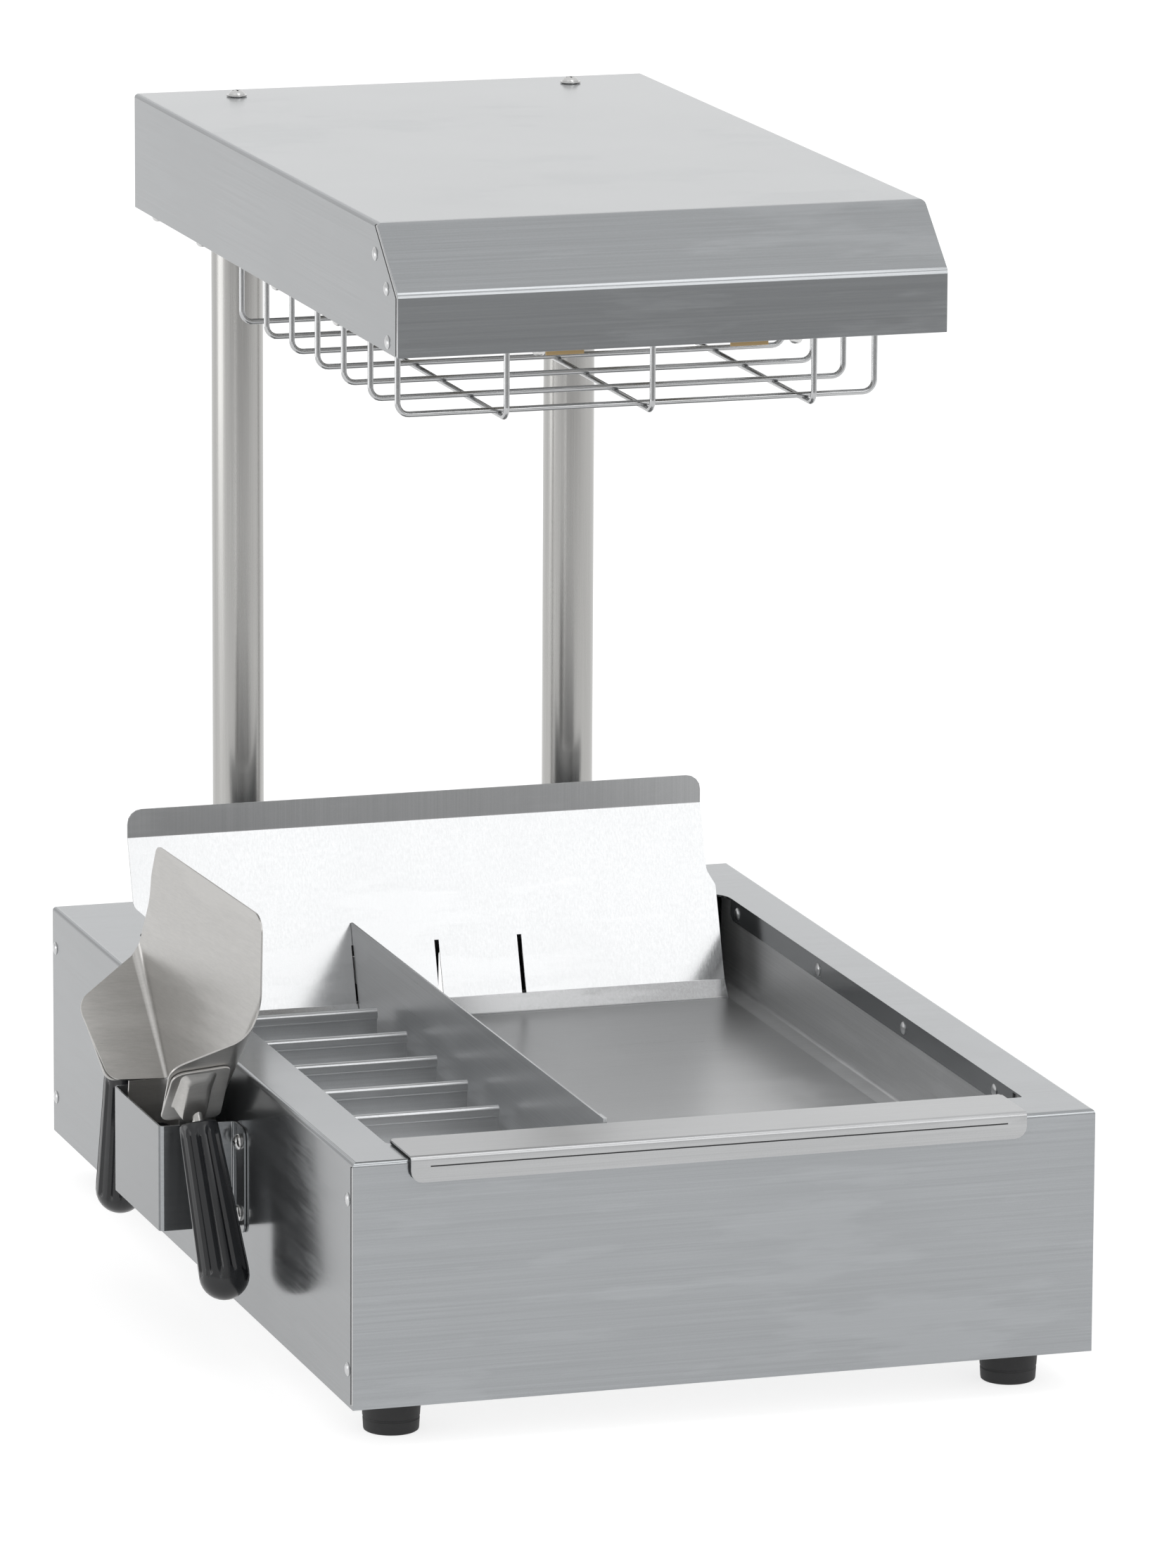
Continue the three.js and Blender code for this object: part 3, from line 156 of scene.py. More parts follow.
class Value:
    """A node's output, with arithmetic that adds Math nodes."""

    def __init__(self, nodes, socket):
        self.nodes = nodes
        self.socket = socket

    def math(self, operation, *values, clamp=False):
        settings = {"operation": operation, "use_clamp": clamp}
        return self.nodes.node("ShaderNodeMath", settings, dict(enumerate(values)))

    def __add__(self, other):
        return self.math("ADD", self, other)

    __radd__ = __add__

    def __sub__(self, other):
        return self.math("SUBTRACT", self, other)

    def __rsub__(self, other):
        return self.math("SUBTRACT", other, self)

    def __mul__(self, other):
        return self.math("MULTIPLY", self, other)

    __rmul__ = __mul__

    def __pow__(self, other):
        return self.math("POWER", self, other)

    def __gt__(self, other):
        return self.math("GREATER_THAN", self, other)

    def __abs__(self):
        return self.math("ABSOLUTE", self)

    def held(self):
        """The value kept from 0 to 1."""
        return self.math("ADD", self, 0.0, clamp=True)


class Nodes:
    """A node tree that is filled one node at a time."""

    def __init__(self, tree):
        self.tree = tree
        tree.nodes.clear()

    def node(self, kind, settings=None, inputs=None, output=0):
        made = self.tree.nodes.new(kind)
        for key, value in (settings or {}).items():
            if key == "stops":
                self.set_stops(made.color_ramp, value)
            else:
                setattr(made, key, value)
        for key, value in (inputs or {}).items():
            socket = found(made.inputs, key)
            if isinstance(value, Value):
                self.tree.links.new(value.socket, socket)
            else:
                socket.default_value = value
        return Value(self, found(made.outputs, output)) if len(made.outputs) else None

    def set_stops(self, ramp, stops):
        while len(ramp.elements) > len(stops):
            ramp.elements.remove(ramp.elements[-1])
        while len(ramp.elements) < len(stops):
            ramp.elements.new(1.0)
        for element, (place, level) in zip(ramp.elements, stops):
            element.position = place
            element.color = (level, level, level, 1.0)

    def place(self):
        """Where a point of the surface is, in metres."""
        return self.node("ShaderNodeTexCoord", output="Object")

    def parts(self, vector):
        """The X, Y and Z of a vector."""
        split = self.node("ShaderNodeSeparateXYZ", inputs={0: vector})
        outputs = split.socket.node.outputs
        return [Value(self, output) for output in outputs]

    def stretched(self, vector, scales):
        return self.node("ShaderNodeVectorMath", {"operation": "MULTIPLY"}, {0: vector, 1: scales})

    def noise(self, vector, scale=1.0, detail=2.0, roughness=0.55):
        values = {"Vector": vector, "Scale": scale, "Detail": detail, "Roughness": roughness}
        return self.node("ShaderNodeTexNoise", inputs=values)

    def ramp(self, value, stops):
        return self.node("ShaderNodeValToRGB", {"stops": stops}, {0: value})

    def mixed(self, share, first, second):
        """Two colours mixed."""
        values = {"Factor_Float": share, "A_Color": first, "B_Color": second}
        return self.node("ShaderNodeMix", {"data_type": "RGBA"}, values, "Result_Color")

    def either(self, share, first, second):
        """Two vectors mixed."""
        values = {"Factor_Float": share, "A_Vector": first, "B_Vector": second}
        return self.node("ShaderNodeMix", {"data_type": "VECTOR"}, values, "Result_Vector")

    def bump(self, height, strength, distance):
        values = {"Strength": strength, "Distance": distance, "Height": height}
        return self.node("ShaderNodeBump", inputs=values)

    def surface(self, **values):
        """A Principled surface; a name's underscores stand for spaces."""
        inputs = {key.replace("_", " "): value for key, value in values.items()}
        shader = self.node("ShaderNodeBsdfPrincipled", inputs=inputs)
        self.node("ShaderNodeOutputMaterial", inputs={"Surface": shader})


def rgba(colour, level=1.0):
    return (colour[0] * level, colour[1] * level, colour[2] * level, 1.0)


finishes = {}


def new_finish(name):
    """A material and its empty node tree, kept by name for the other pieces that share it."""
    material = bpy.data.materials.new(f"{name}_finish")
    material.use_nodes = True
    finishes[name] = material
    return material, Nodes(material.node_tree)


# Finishes

BRUSH_GRAIN = 1000.0
BRUSH_LENGTH = 6.0
BRUSH_DARK = 0.93
BRUSH_BRIGHT = 1.065
BRUSH_BUMP = 0.16
DIRT_LEVEL = 0.94
SMUDGE_LEVEL = 1.25
FACES_SIDEWAYS = 0.7
DULL_ROUGHNESS = 0.3
SHEET_METALLIC = 0.82


def brushed_steel(name, colour, roughness=0.17, upright_behind=None, rough_above=None, sides=1.0):
    """Sheet steel with its grain across the front, along the sides, and upright further back, with
    painted shade that darkens faces pointing sideways along X to the sides share of their colour.
    """
    if name in finishes:
        return finishes[name]
    made, nodes = new_finish(name)
    place = nodes.place()
    normal = nodes.parts(nodes.node("ShaderNodeNewGeometry", output="True Normal"))
    across = nodes.stretched(place, (BRUSH_LENGTH, BRUSH_GRAIN, BRUSH_GRAIN))
    along = nodes.stretched(place, (BRUSH_GRAIN, BRUSH_LENGTH, BRUSH_GRAIN))
    upright = (BRUSH_GRAIN, BRUSH_GRAIN, BRUSH_LENGTH)
    # Faces that point sideways along X: their grain runs along Y, and they also take the painted
    # shade below.
    side = abs(normal[0]) > FACES_SIDEWAYS
    lines = nodes.either(side, across, along)
    if upright_behind is not None:
        behind = nodes.parts(place)[1] > upright_behind
        lines = nodes.either(behind, lines, nodes.stretched(place, upright))
        top_band = nodes.parts(place)[2] > rough_above
        duller = DULL_ROUGHNESS - roughness
        roughness = DULL_ROUGHNESS - behind * duller + top_band * DULL_ROUGHNESS
    fine = nodes.noise(lines, detail=2.0, roughness=0.7)
    broad = nodes.noise(lines, scale=0.17, detail=2.0)
    cloud = nodes.noise(place, scale=9.0, detail=3.0)
    speck = nodes.noise(place, scale=1500.0, detail=1.0)
    wipe = {"Vector": place, "Rotation": (0.6, 0.5, 0.4), "Scale": (9, 9, 70)}
    smear = nodes.noise(nodes.node("ShaderNodeMapping", inputs=wipe), detail=4.0, roughness=0.6)
    smudge = nodes.ramp(smear + cloud * 0.7, [(0.9, 0.0), (1.02, 1.0)])
    streaks = (fine * 0.88 + broad * 0.12).held()
    shade = nodes.ramp(streaks * 0.75 + speck * 0.25, [(0.36, 0.0), (0.64, 1.0)])
    tone = nodes.mixed(shade, rgba(colour, BRUSH_DARK), rgba(colour, BRUSH_BRIGHT))
    dirt = nodes.ramp(cloud, [(0.4, 0.0), (0.75, 0.5)])
    tone = nodes.mixed(dirt, tone, rgba(colour, DIRT_LEVEL))
    tone = nodes.mixed(smudge * 0.3, tone, rgba(colour, SMUDGE_LEVEL))
    # Painted shade: faces that point sideways along X are mixed towards black and keep only the
    # sides share of their colour.
    tone = nodes.mixed(side * (1 - sides), tone, rgba(colour, 0.0))
    rough = (fine - 0.5) * 0.08 + (cloud - 0.5) * 0.05 + smudge * 0.04 + roughness
    nodes.surface(
        Base_Color=tone, Metallic=SHEET_METALLIC, Roughness=rough.held(),
        Normal=nodes.bump(streaks, BRUSH_BUMP, 0.05 * MM),
    )
    return made


def tube_steel(name, colour):
    """Drawn tube with its grain along the length."""
    made, nodes = new_finish(name)
    place = nodes.place()
    lines = nodes.stretched(place, (1500.0, 1500.0, 9.0))
    fine = nodes.noise(lines, detail=3.0, roughness=0.7)
    cloud = nodes.noise(place, scale=14.0, detail=2.0)
    tone = nodes.mixed(fine, rgba(colour, 0.86), rgba(colour, 1.12))
    rough = (fine - 0.5) * 0.12 + (cloud - 0.5) * 0.08 + 0.26
    nodes.surface(
        Base_Color=tone, Metallic=1.0, Roughness=rough.held(),
        Normal=nodes.bump(fine, 0.3, 0.04 * MM),
    )
    return made


def plated(name, colour, roughness, scale=220.0):
    """Bright or dull plating, for wires, screws, the reflector and brackets."""
    if name in finishes:
        return finishes[name]
    made, nodes = new_finish(name)
    place = nodes.place()
    grit = nodes.noise(place, scale=scale, detail=3.0)
    cloud = nodes.noise(place, scale=25.0, detail=2.0)
    tone = nodes.mixed(cloud, rgba(colour, 0.86), rgba(colour, 1.08))
    rough = (grit - 0.5) * 0.16 + (cloud - 0.5) * 0.1 + roughness
    nodes.surface(
        Base_Color=tone, Metallic=1.0, Roughness=rough.held(),
        Normal=nodes.bump(grit, 0.12, 0.1 * MM),
    )
    return made


def moulded(name, colour, roughness, grit_scale=1400.0, wear=0.5):
    """Moulded plastic, rubber or ceramic, with fine grit and a little wear."""
    if name in finishes:
        return finishes[name]
    made, nodes = new_finish(name)
    place = nodes.place()
    grit = nodes.noise(place, scale=grit_scale, detail=2.0)
    cloud = nodes.noise(place, scale=40.0, detail=4.0, roughness=0.65)
    worn = nodes.ramp(cloud, [(0.5, 0.0), (0.8, 1.0)])
    tone = nodes.mixed(worn, rgba(colour), rgba(colour, 1.0 + wear))
    rough = (grit - 0.5) * 0.12 + (cloud - 0.5) * 0.16 + roughness
    nodes.surface(
        Base_Color=tone, Roughness=rough.held(), Normal=nodes.bump(grit, 0.12, 0.15 * MM),
    )
    return made


def inner_steel(sheets):
    return brushed_steel("inner_steel", sheets.inner_colour, roughness=0.38)


def screw_steel():
    return plated("screw_steel", (0.62, 0.62, 0.615), 0.26)


def gap_shadow():
    return moulded("gap_shadow", (0.02, 0.02, 0.021), 0.7)


def heater_ceramic():
    return moulded("heater_ceramic", (0.68, 0.65, 0.58), 0.5, 500.0, wear=0.1)


# Mesh building

CORNER_STEPS = 6
SAME_PLACE = 0.002 * MM
SAME_PLANE = math.radians(0.4)
SMOOTH_BELOW = math.radians(38.0)
FOLD_ANGLE = math.radians(30)
FOLD_AREA = 0.003
FOLD_STEPS = 5
SEAM_SIDES = 16
GAP_SIDES = 12
RIVET_SIDES = 28
HEAD_SIDES = 40
SHANK_SIDES = 24


def ring(mesh, radius, height, sides, matrix):
    if radius == 0:
        return [mesh.verts.new(matrix @ Vector((0, 0, height * MM)))]
    corners = []
    for k in range(sides):
        angle = math.tau * k / sides
        point = Vector((radius * math.cos(angle), radius * math.sin(angle), height)) * MM
        corners.append(mesh.verts.new(matrix @ point))
    return corners


def bridged(mesh, low, high):
    """Faces between two rings, either of which may be a single point."""
    count = max(len(low), len(high))
    for k in range(count):
        after = (k + 1) % count
        corners = [
            low[k % len(low)], low[after % len(low)], high[after % len(high)], high[k % len(high)],
        ]
        mesh.faces.new(list(dict.fromkeys(corners)))


def turned(mesh, profile, sides, matrix, closed=False):
    """A turned form of (radius, height) pairs in millimetres about the matrix's Z."""
    rings = [ring(mesh, radius, height, sides, matrix) for radius, height in profile]
    for low, high in zip(rings, rings[1:]):
        bridged(mesh, low, high)
    if closed:
        bridged(mesh, rings[-1], rings[0])


def eased(points, radius):
    """A path of points in metres with its corners rounded."""
    path = [points[0]]
    for before, here, after in zip(points, points[1:], points[2:]):
        arriving = (here - before).normalized()
        leaving = (after - here).normalized()
        turn = arriving.angle(leaving)
        axis = arriving.cross(leaving).normalized()
        start = here - arriving * radius * math.tan(turn / 2)
        centre = start + axis.cross(arriving) * radius
        for k in range(CORNER_STEPS + 1):
            part = Matrix.Rotation(turn * k / CORNER_STEPS, 3, axis)
            path.append(centre + part @ (start - centre))
    return path + [points[-1]]


def swept(mesh, path, radius, sides):
    """A round wire along a path in metres, with closed ends."""
    direction = (path[1] - path[0]).normalized()
    across = direction.orthogonal().normalized()
    last = None
    for index, here in enumerate(path):
        before = path[max(index - 1, 0)]
        after = path[min(index + 1, len(path) - 1)]
        heading = (after - before).normalized()
        across = direction.rotation_difference(heading) @ across
        direction = heading
        up = direction.cross(across)
        corners = []
        for k in range(sides):
            angle = math.tau * k / sides
            offset = across * math.cos(angle) + up * math.sin(angle)
            corners.append(mesh.verts.new(here + offset * radius))
        if last is None:
            mesh.faces.new(corners[::-1])
        else:
            bridged(mesh, last, corners)
        last = corners
    mesh.faces.new(last)


def block(mesh, low, high):
    """A box between two corners in metres."""
    made = bmesh.ops.create_cube(mesh, size=1.0)["verts"]
    size = high - low
    for corner in made:
        corner.co = (low + high) / 2 + Vector(a * b for a, b in zip(corner.co, size))


def rounded_outline(corners, steps=CORNER_STEPS):
    """A closed line of (x, y, radius) corners, each rounded."""
    points = []
    for k, (x, y, radius) in enumerate(corners):
        here = Vector((x, y))
        if radius == 0:
            points.append(here)
            continue
        before = (Vector(corners[k - 1][:2]) - here).normalized()
        after = (Vector(corners[(k + 1) % len(corners)][:2]) - here).normalized()
        half = before.angle(after) / 2
        centre = here + (before + after).normalized() * radius / math.sin(half)
        first = here + before * radius / math.tan(half) - centre
        last = here + after * radius / math.tan(half) - centre
        start = math.atan2(first.y, first.x)
        turn = math.remainder(math.atan2(last.y, last.x) - start, math.tau)
        for i in range(steps + 1):
            angle = start + turn * i / steps
            points.append(centre + Vector((math.cos(angle), math.sin(angle))) * radius)
    return points


def lofted(mesh, rings):
    """A closed form through rings of as many points each, in metres."""
    made = [[mesh.verts.new(point) for point in points] for points in rings]
    mesh.faces.new(made[0][::-1])
    for low, high in zip(made, made[1:]):
        bridged(mesh, low, high)
    mesh.faces.new(made[-1])


def as_mesh(name, mesh):
    bmesh.ops.recalc_face_normals(mesh, faces=mesh.faces)
    data = bpy.data.meshes.new(name)
    mesh.to_mesh(data)
    mesh.free()
    return data


def carved(mesh, cutter):
    """A mesh with another one cut out of it."""
    pair = []
    for name, part in (("carved", mesh), ("cutter", cutter)):
        part_object = bpy.data.objects.new(name, as_mesh(name, part))
        bpy.context.scene.collection.objects.link(part_object)
        pair.append(part_object)
    whole, tool = pair
    cut = whole.modifiers.new("cut", "BOOLEAN")
    cut.operation = "DIFFERENCE"
    cut.solver = "EXACT"
    cut.object = tool
    result = bmesh.new()
    result.from_object(whole, bpy.context.evaluated_depsgraph_get())
    for part_object in pair:
        data = part_object.data
        bpy.data.objects.remove(part_object)
        bpy.data.meshes.remove(data)
    return result


def merged(mesh):
    """Joins doubled corners, and faces that lie in one plane."""
    bmesh.ops.remove_doubles(mesh, verts=mesh.verts, dist=SAME_PLACE)
    bmesh.ops.dissolve_limit(mesh, angle_limit=SAME_PLANE, verts=mesh.verts, edges=mesh.edges)


def bevelled(mesh, edges, width, steps, profile):
    bmesh.ops.bevel(
        mesh, geom=edges, offset=width, offset_type="OFFSET", segments=steps, profile=profile,
        affect="EDGES", clamp_overlap=True,
    )


def folded(mesh, width):
    """Rounds the outer side of the long folds between large faces."""
    merged(mesh)
    edges = [
        edge for edge in mesh.edges
        if edge.is_manifold and edge.calc_face_angle_signed(0.0) > FOLD_ANGLE
        and min(face.calc_area() for face in edge.link_faces) > FOLD_AREA
    ]
    bevelled(mesh, edges, width, FOLD_STEPS, 0.5)


def softened(mesh, width, steps=2, sharp=35.0):
    """Rounds the edges of a sheet that are sharper than an angle in degrees."""
    merged(mesh)
    edges = [
        edge for edge in mesh.edges
        if edge.is_manifold and edge.calc_face_angle(0.0) > math.radians(sharp)
    ]
    bevelled(mesh, edges, width, steps, 0.6)


def added(name, mesh, finish, body, slot, *nodes):
    """Makes a piece of a mesh, which rides on a body and may stand for CAD nodes."""
    data = as_mesh(name, mesh)
    data.materials.append(finish)
    data.shade_smooth()
    data.set_sharp_from_angle(angle=SMOOTH_BELOW)
    piece = bpy.data.objects.new(name, data)
    bpy.context.scene.collection.objects.link(piece)
    weighted = piece.modifiers.new("weighted", "WEIGHTED_NORMAL")
    weighted.keep_sharp = True
    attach(piece, body)
    if nodes:
        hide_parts(*nodes)
    return piece


def dressed(node, finish, body, slot, width, steps=2, tool=None, bend=0.0):
    """Stands a softened copy in for a CAD node, with a tool's shape cut out where one is given."""
    mesh = bmesh.new()
    mesh.from_mesh(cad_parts[node].data)
    if bend:
        folded(mesh, bend)
    softened(mesh, width, steps)
    if tool:
        mesh = carved(mesh, tool)
    return added(f"{node}_dressed", mesh, finish, body, slot, node)


def seamed(name, paths, width, slot):
    """Folded hems along paths on a side face, in a brighter steel that paints their highlight, each
    with a dark tube behind its edge as painted shade of the gap.
    """
    hem = bmesh.new()
    # The gap tubes are painted shade, in the dark gap_shadow finish.
    gap = bmesh.new()
    for path in paths:
        swept(hem, [point + Vector((0, 0.4 * width, 0)) for point in path], width, SEAM_SIDES)
        swept(gap, [point + Vector((0, 2.5 * width, 0)) for point in path], width * 1.2, GAP_SIDES)
    # Painted highlight: the hems take a brighter, glossier steel than the sheet they fold from.
    hem_highlight = plated("hem_steel", (0.62, 0.625, 0.63), 0.2)
    added(f"{name}_hem", hem, hem_highlight, "root", slot)
    added(f"{name}_gap", gap, gap_shadow(), "root", slot)


def painted(node, finish):
    """Gives a CAD node a finish."""
    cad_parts[node].material_slots[0].material = finish


def measured(node):
    """A CAD node's lowest and highest corners, and its middle."""
    low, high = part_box(node)
    return low, high, (low + high) / 2


def upright(centre):
    """A matrix on the floor under a place."""
    return Matrix.Translation((centre.x, centre.y, 0))


def both_sides(x, places, way=1):
    """Places on the left and the right at X, each with the direction that it faces."""
    return [(spot(side * x, y, z), (side * way, 0, 0)) for side in (-1, 1) for y, z in places]


def rivets(name, places, radius, slot):
    """Low domed rivet heads at (place, direction) pairs."""
    mesh = bmesh.new()
    size = radius / MM
    profile = [
        (0, 1.3), (size * 0.35, 1.25), (size * 0.62, 1.05), (size * 0.82, 0.7), (size * 0.94, 0.3),
        (size, 0.28), (size, -0.4), (0, -0.4),
    ]
    for place, direction in places:
        turned(mesh, profile, RIVET_SIDES, facing(place, direction))
    added(name, mesh, plated("rivet_steel", (0.58, 0.585, 0.59), 0.3), "root", slot)


HEAD_DOME = ((0.45, 0.96), (0.78, 0.72), (0.95, 0.36), (1, 0.05))


def screw_head(radius, height, washer=None):
    """A domed screw head with a cross recess, on a washer where one is given."""
    mesh = bmesh.new()
    level = Matrix.Identity(4)
    base = washer[1] if washer else 0.0
    profile = [(0, base + height)]
    profile += [(radius * out, base + height * up) for out, up in HEAD_DOME]
    profile += [(radius * 0.98, base - 0.2), (0, base - 0.2)]
    turned(mesh, profile, HEAD_SIDES, level)
    arm, slit = radius * 0.56, radius * 0.11
    depth, over = base + height * 0.35, base + height + 2
    for x, y in ((arm, slit), (slit, arm)):
        cutter = bmesh.new()
        block(cutter, Vector((-x, -y, depth)) * MM, Vector((x, y, over)) * MM)
        mesh = carved(mesh, cutter)
    if washer:
        outer, thick = washer
        inner = radius * 0.6
        rim = [
            (inner, 0), (outer - 0.2, 0), (outer, 0.2), (outer, thick - 0.2), (outer - 0.2, thick),
            (inner, thick),
        ]
        turned(mesh, rim, HEAD_SIDES, level, closed=True)
    return as_mesh("screw_head", mesh)


def placed(mesh, data, matrix):
    """Adds a copy of finished mesh data at a matrix."""
    kept = set(mesh.verts)
    mesh.from_mesh(data)
    moved = [corner for corner in mesh.verts if corner not in kept]
    bmesh.ops.transform(mesh, matrix=matrix, verts=moved)


# Operators, one for each group of pieces

SENSOR_WIDTH = 36.0
VIEW_PLACE = (-1513.541, -4522.42, 1365.27)
VIEW_RIGHT = (0.95346844, -0.30144874, 0.00515718)
VIEW_UP = (0.05929874, 0.20427564, 0.97711572)
VIEW_BACK = (-0.29560379, -0.93134318, 0.21264591)
FLOOR_CORNERS = ((-12, -1.8), (12, -1.8), (12, 13), (-12, 13))
SEEN_RAYS = ("Is Camera Ray", "Is Glossy Ray", "Is Transmission Ray")
LAMP_TARGET = Vector((0, 0, 0.2))
LAMPS = (
    ("key_light", (0.92, -2.5, 1.5), (1.1, 1.1), "key_power", 1.0),
    ("fill_light", (-2.2, -1.6, 2.3), (1.8, 1.8), "key_power", 0.5),
    ("side_light", (-1.8, 0.45, 0.32), (1.0, 0.5), "side_power", 0.55),
    ("top_light", (0.25, -0.75, 1.57), (0.6, 0.6), "side_power", 0.4),
    ("post_light", (-0.62, -0.85, 0.16), (0.05, 0.3), "side_power", 0.02),
)
WHITE = (1, 1, 1, 1)


class FRYSTATION_OT_stage(bpy.types.Operator):
    """Set the camera, floor, soft light and sky"""

    bl_idname = "fry_station.stage"
    bl_label = "Set Stage"

    def execute(self, context):
        stage = context.scene.fry_station.stage
        context.scene.view_settings.view_transform = "Standard"
        self.add_camera(context, stage)
        self.add_floor(context, stage)
        self.add_light(context, stage)
        self.set_world(context, stage)
        return {"FINISHED"}

    def add_camera(self, context, stage):
        lens = bpy.data.cameras.new("camera")
        lens.sensor_width = SENSOR_WIDTH
        lens.lens = stage.focal_length
        lens.clip_start = 0.1
        lens.clip_end = 60.0
        camera = bpy.data.objects.new("camera", lens)
        turn = Matrix((VIEW_RIGHT, VIEW_UP, VIEW_BACK)).transposed().to_4x4()
        camera.matrix_world = Matrix.Translation(spot(*VIEW_PLACE)) @ turn
        context.scene.collection.objects.link(camera)
        context.scene.camera = camera

    def add_floor(self, context, stage):
        """A pale floor that keeps the shadow, glows where it is seen, and is clear from below."""
        mesh = bmesh.new()
        mesh.faces.new([mesh.verts.new((x, y, 0.0)) for x, y in FLOOR_CORNERS])
        data = as_mesh("floor", mesh)
        made, nodes = new_finish("floor")
        ray = nodes.node("ShaderNodeLightPath").socket.node.outputs
        seen = sum(Value(nodes, ray[key]) for key in SEEN_RAYS)
        cloud = nodes.noise(nodes.place(), scale=2.0, detail=2.0)
        level = nodes.mixed(cloud, rgba(stage.floor_colour, 0.985), rgba(stage.floor_colour))
        matt = nodes.node("ShaderNodeBsdfDiffuse", inputs={"Color": level})
        light = {"Color": WHITE, "Strength": seen.held() * stage.floor_lift}
        glow = nodes.node("ShaderNodeEmission", inputs=light)
        both = nodes.node("ShaderNodeAddShader", inputs={0: matt, 1: glow})
        under = nodes.node("ShaderNodeNewGeometry", output="Backfacing")
        clear = nodes.node("ShaderNodeBsdfTransparent")
        shown = nodes.node("ShaderNodeMixShader", inputs={0: under, 1: both, 2: clear})
        nodes.node("ShaderNodeOutputMaterial", inputs={"Surface": shown})
        data.materials.append(made)
        floor = bpy.data.objects.new("floor", data)
        context.scene.collection.objects.link(floor)

    def add_light(self, context, stage):
        for name, place, size, power, share in LAMPS:
            lamp = bpy.data.lights.new(name, "AREA")
            lamp.shape = "RECTANGLE"
            lamp.size, lamp.size_y = size
            lamp.energy = getattr(stage, power) * share
            light = bpy.data.objects.new(name, lamp)
            light.matrix_world = facing(Vector(place), Vector(place) - LAMP_TARGET)
            context.scene.collection.objects.link(light)

    def set_world(self, context, stage):
        """A sky that is brightest behind, dimmer in front, and dimmest low in front."""
        world = bpy.data.worlds.new("studio")
        world.use_nodes = True
        context.scene.world = world
        nodes = Nodes(world.node_tree)
        heading = nodes.parts(nodes.node("ShaderNodeTexCoord", output="Generated"))
        rearward = (heading[0] * 0.3 + heading[1] * 0.95).held() ** 2.5
        level = rearward * (stage.rear_level - stage.front_level) + stage.front_level
        lit = (heading[2] * 8).held() * (1 - rearward)
        level = level + lit * (stage.front_sky - stage.front_level)
        below = (heading[2] * -5).held()
        level = level * (1 - below * 0.37)
        high = (heading[2] * 1.15).held()
        high = high * high
        strength = level * (1 - high) + high * stage.top_level
        sky = nodes.node("ShaderNodeBackground", inputs={"Color": WHITE, "Strength": strength})
        nodes.node("ShaderNodeOutputWorld", inputs={"Surface": sky})


# Rivets and screws as (Y, Z) places, or as a place along an edge

CORNER_RIVETS = ((9, 128), (9, 41), (582, 126), (582, 42))
STRIP_HALF = 168
STRIP_RIVETS = ((75, 142), (215, 142), (353, 142), (490, 142))
HOOD_RIVETS = ((135, 578.5), (115, 564), (113, 537.5))
SIDE_SCREWS = (561, 472, 326, 212)
FRONT_SCREWS = (-70, 65)
SCREW_INSET = 3.6
SEAM_INSET = 0.4
SEAM_BACK = 0.9
CASING_SEAM = (24.5, CASING_TOP - 2.5)
EDGE_LINE = (28, CASING_TOP - 4)
EDGE_LINE_BACK = 4.0
EDGE_LINE_RADIUS = 1.3 * MM


class FRYSTATION_OT_casing(bpy.types.Operator):
    """Dress the casing, its rear panel, pan and well liner"""

    bl_idname = "fry_station.casing"
    bl_label = "Dress Casing"

    def execute(self, context):
        sheets = context.scene.fry_station.sheets
        # Painted shade: the casing's sideways faces keep 0.7 of their colour.
        steel = brushed_steel("casing_steel", sheets.casing_colour, roughness=0.15, sides=0.7)
        inner = inner_steel(sheets)
        edge, bend = sheets.edge_round, sheets.bend_round
        dressed("base_casing", steel, "root", "casing_steel", edge, bend=bend)
        paths = []
        for side in (-1, 1):
            x = side * (CASING_HALF - SEAM_INSET)
            paths.append([spot(x, SEAM_BACK, z) for z in CASING_SEAM])
        seamed("casing_seam", paths, sheets.seam_width, "casing_steel")
        # Painted shade: a dark tube down the right side's front corner stands for the shade in the
        # seam there.
        line = bmesh.new()
        ends = [spot(CASING_HALF, EDGE_LINE_BACK, z) for z in EDGE_LINE]
        swept(line, ends, EDGE_LINE_RADIUS, SEAM_SIDES)
        added("casing_edge_right", line, gap_shadow(), "root", "casing_steel")
        dressed("rear_panel", steel, "root", "casing_steel", edge)
        dressed("well_liner", inner, "root", "inner_steel", edge)
        painted("base_bottom_pan", inner)
        places = both_sides(CASING_HALF, CORNER_RIVETS)
        rivets("casing_rivets", places, sheets.rivet_radius, "casing_steel")
        places = both_sides(STRIP_HALF, STRIP_RIVETS, -1)
        rivets("strip_rivets", places, sheets.rivet_radius, "casing_steel")
        return {"FINISHED"}


FOOT_SIDES = 56
FOOT_PROFILE = (
    (0, 0.5), (9.0, 0.5), (9.6, 0), (13.2, 0), (13.9, 0.5), (14.1, 1.4), (14.4, 6.4), (14.1, 6.8),
    (14.1, 7.4), (14.5, 7.8), (15.3, 19.6), (15.2, 20.7), (14.6, 21.5), (3, 21.5), (3, 33), (0, 33),
)


class FRYSTATION_OT_feet(bpy.types.Operator):
    """Turn the rubber feet"""

    bl_idname = "fry_station.feet"
    bl_label = "Turn Feet"

    def execute(self, context):
        fittings = context.scene.fry_station.fittings
        rubber = moulded("foot_rubber", fittings.foot_colour, 0.62, wear=0.8)
        for node in ("foot_front_left", "foot_front_right", "foot_rear_left", "foot_rear_right"):
            _, _, centre = measured(node)
            mesh = bmesh.new()
            turned(mesh, FOOT_PROFILE, FOOT_SIDES, upright(centre))
            added(f"{node}_turned", mesh, rubber, "root", "foot_rubber", node)
        return {"FINISHED"}


SWITCH_EDGE = 0.5 * MM
SWITCH_STEPS = 3
GLAND_SIDES = 48


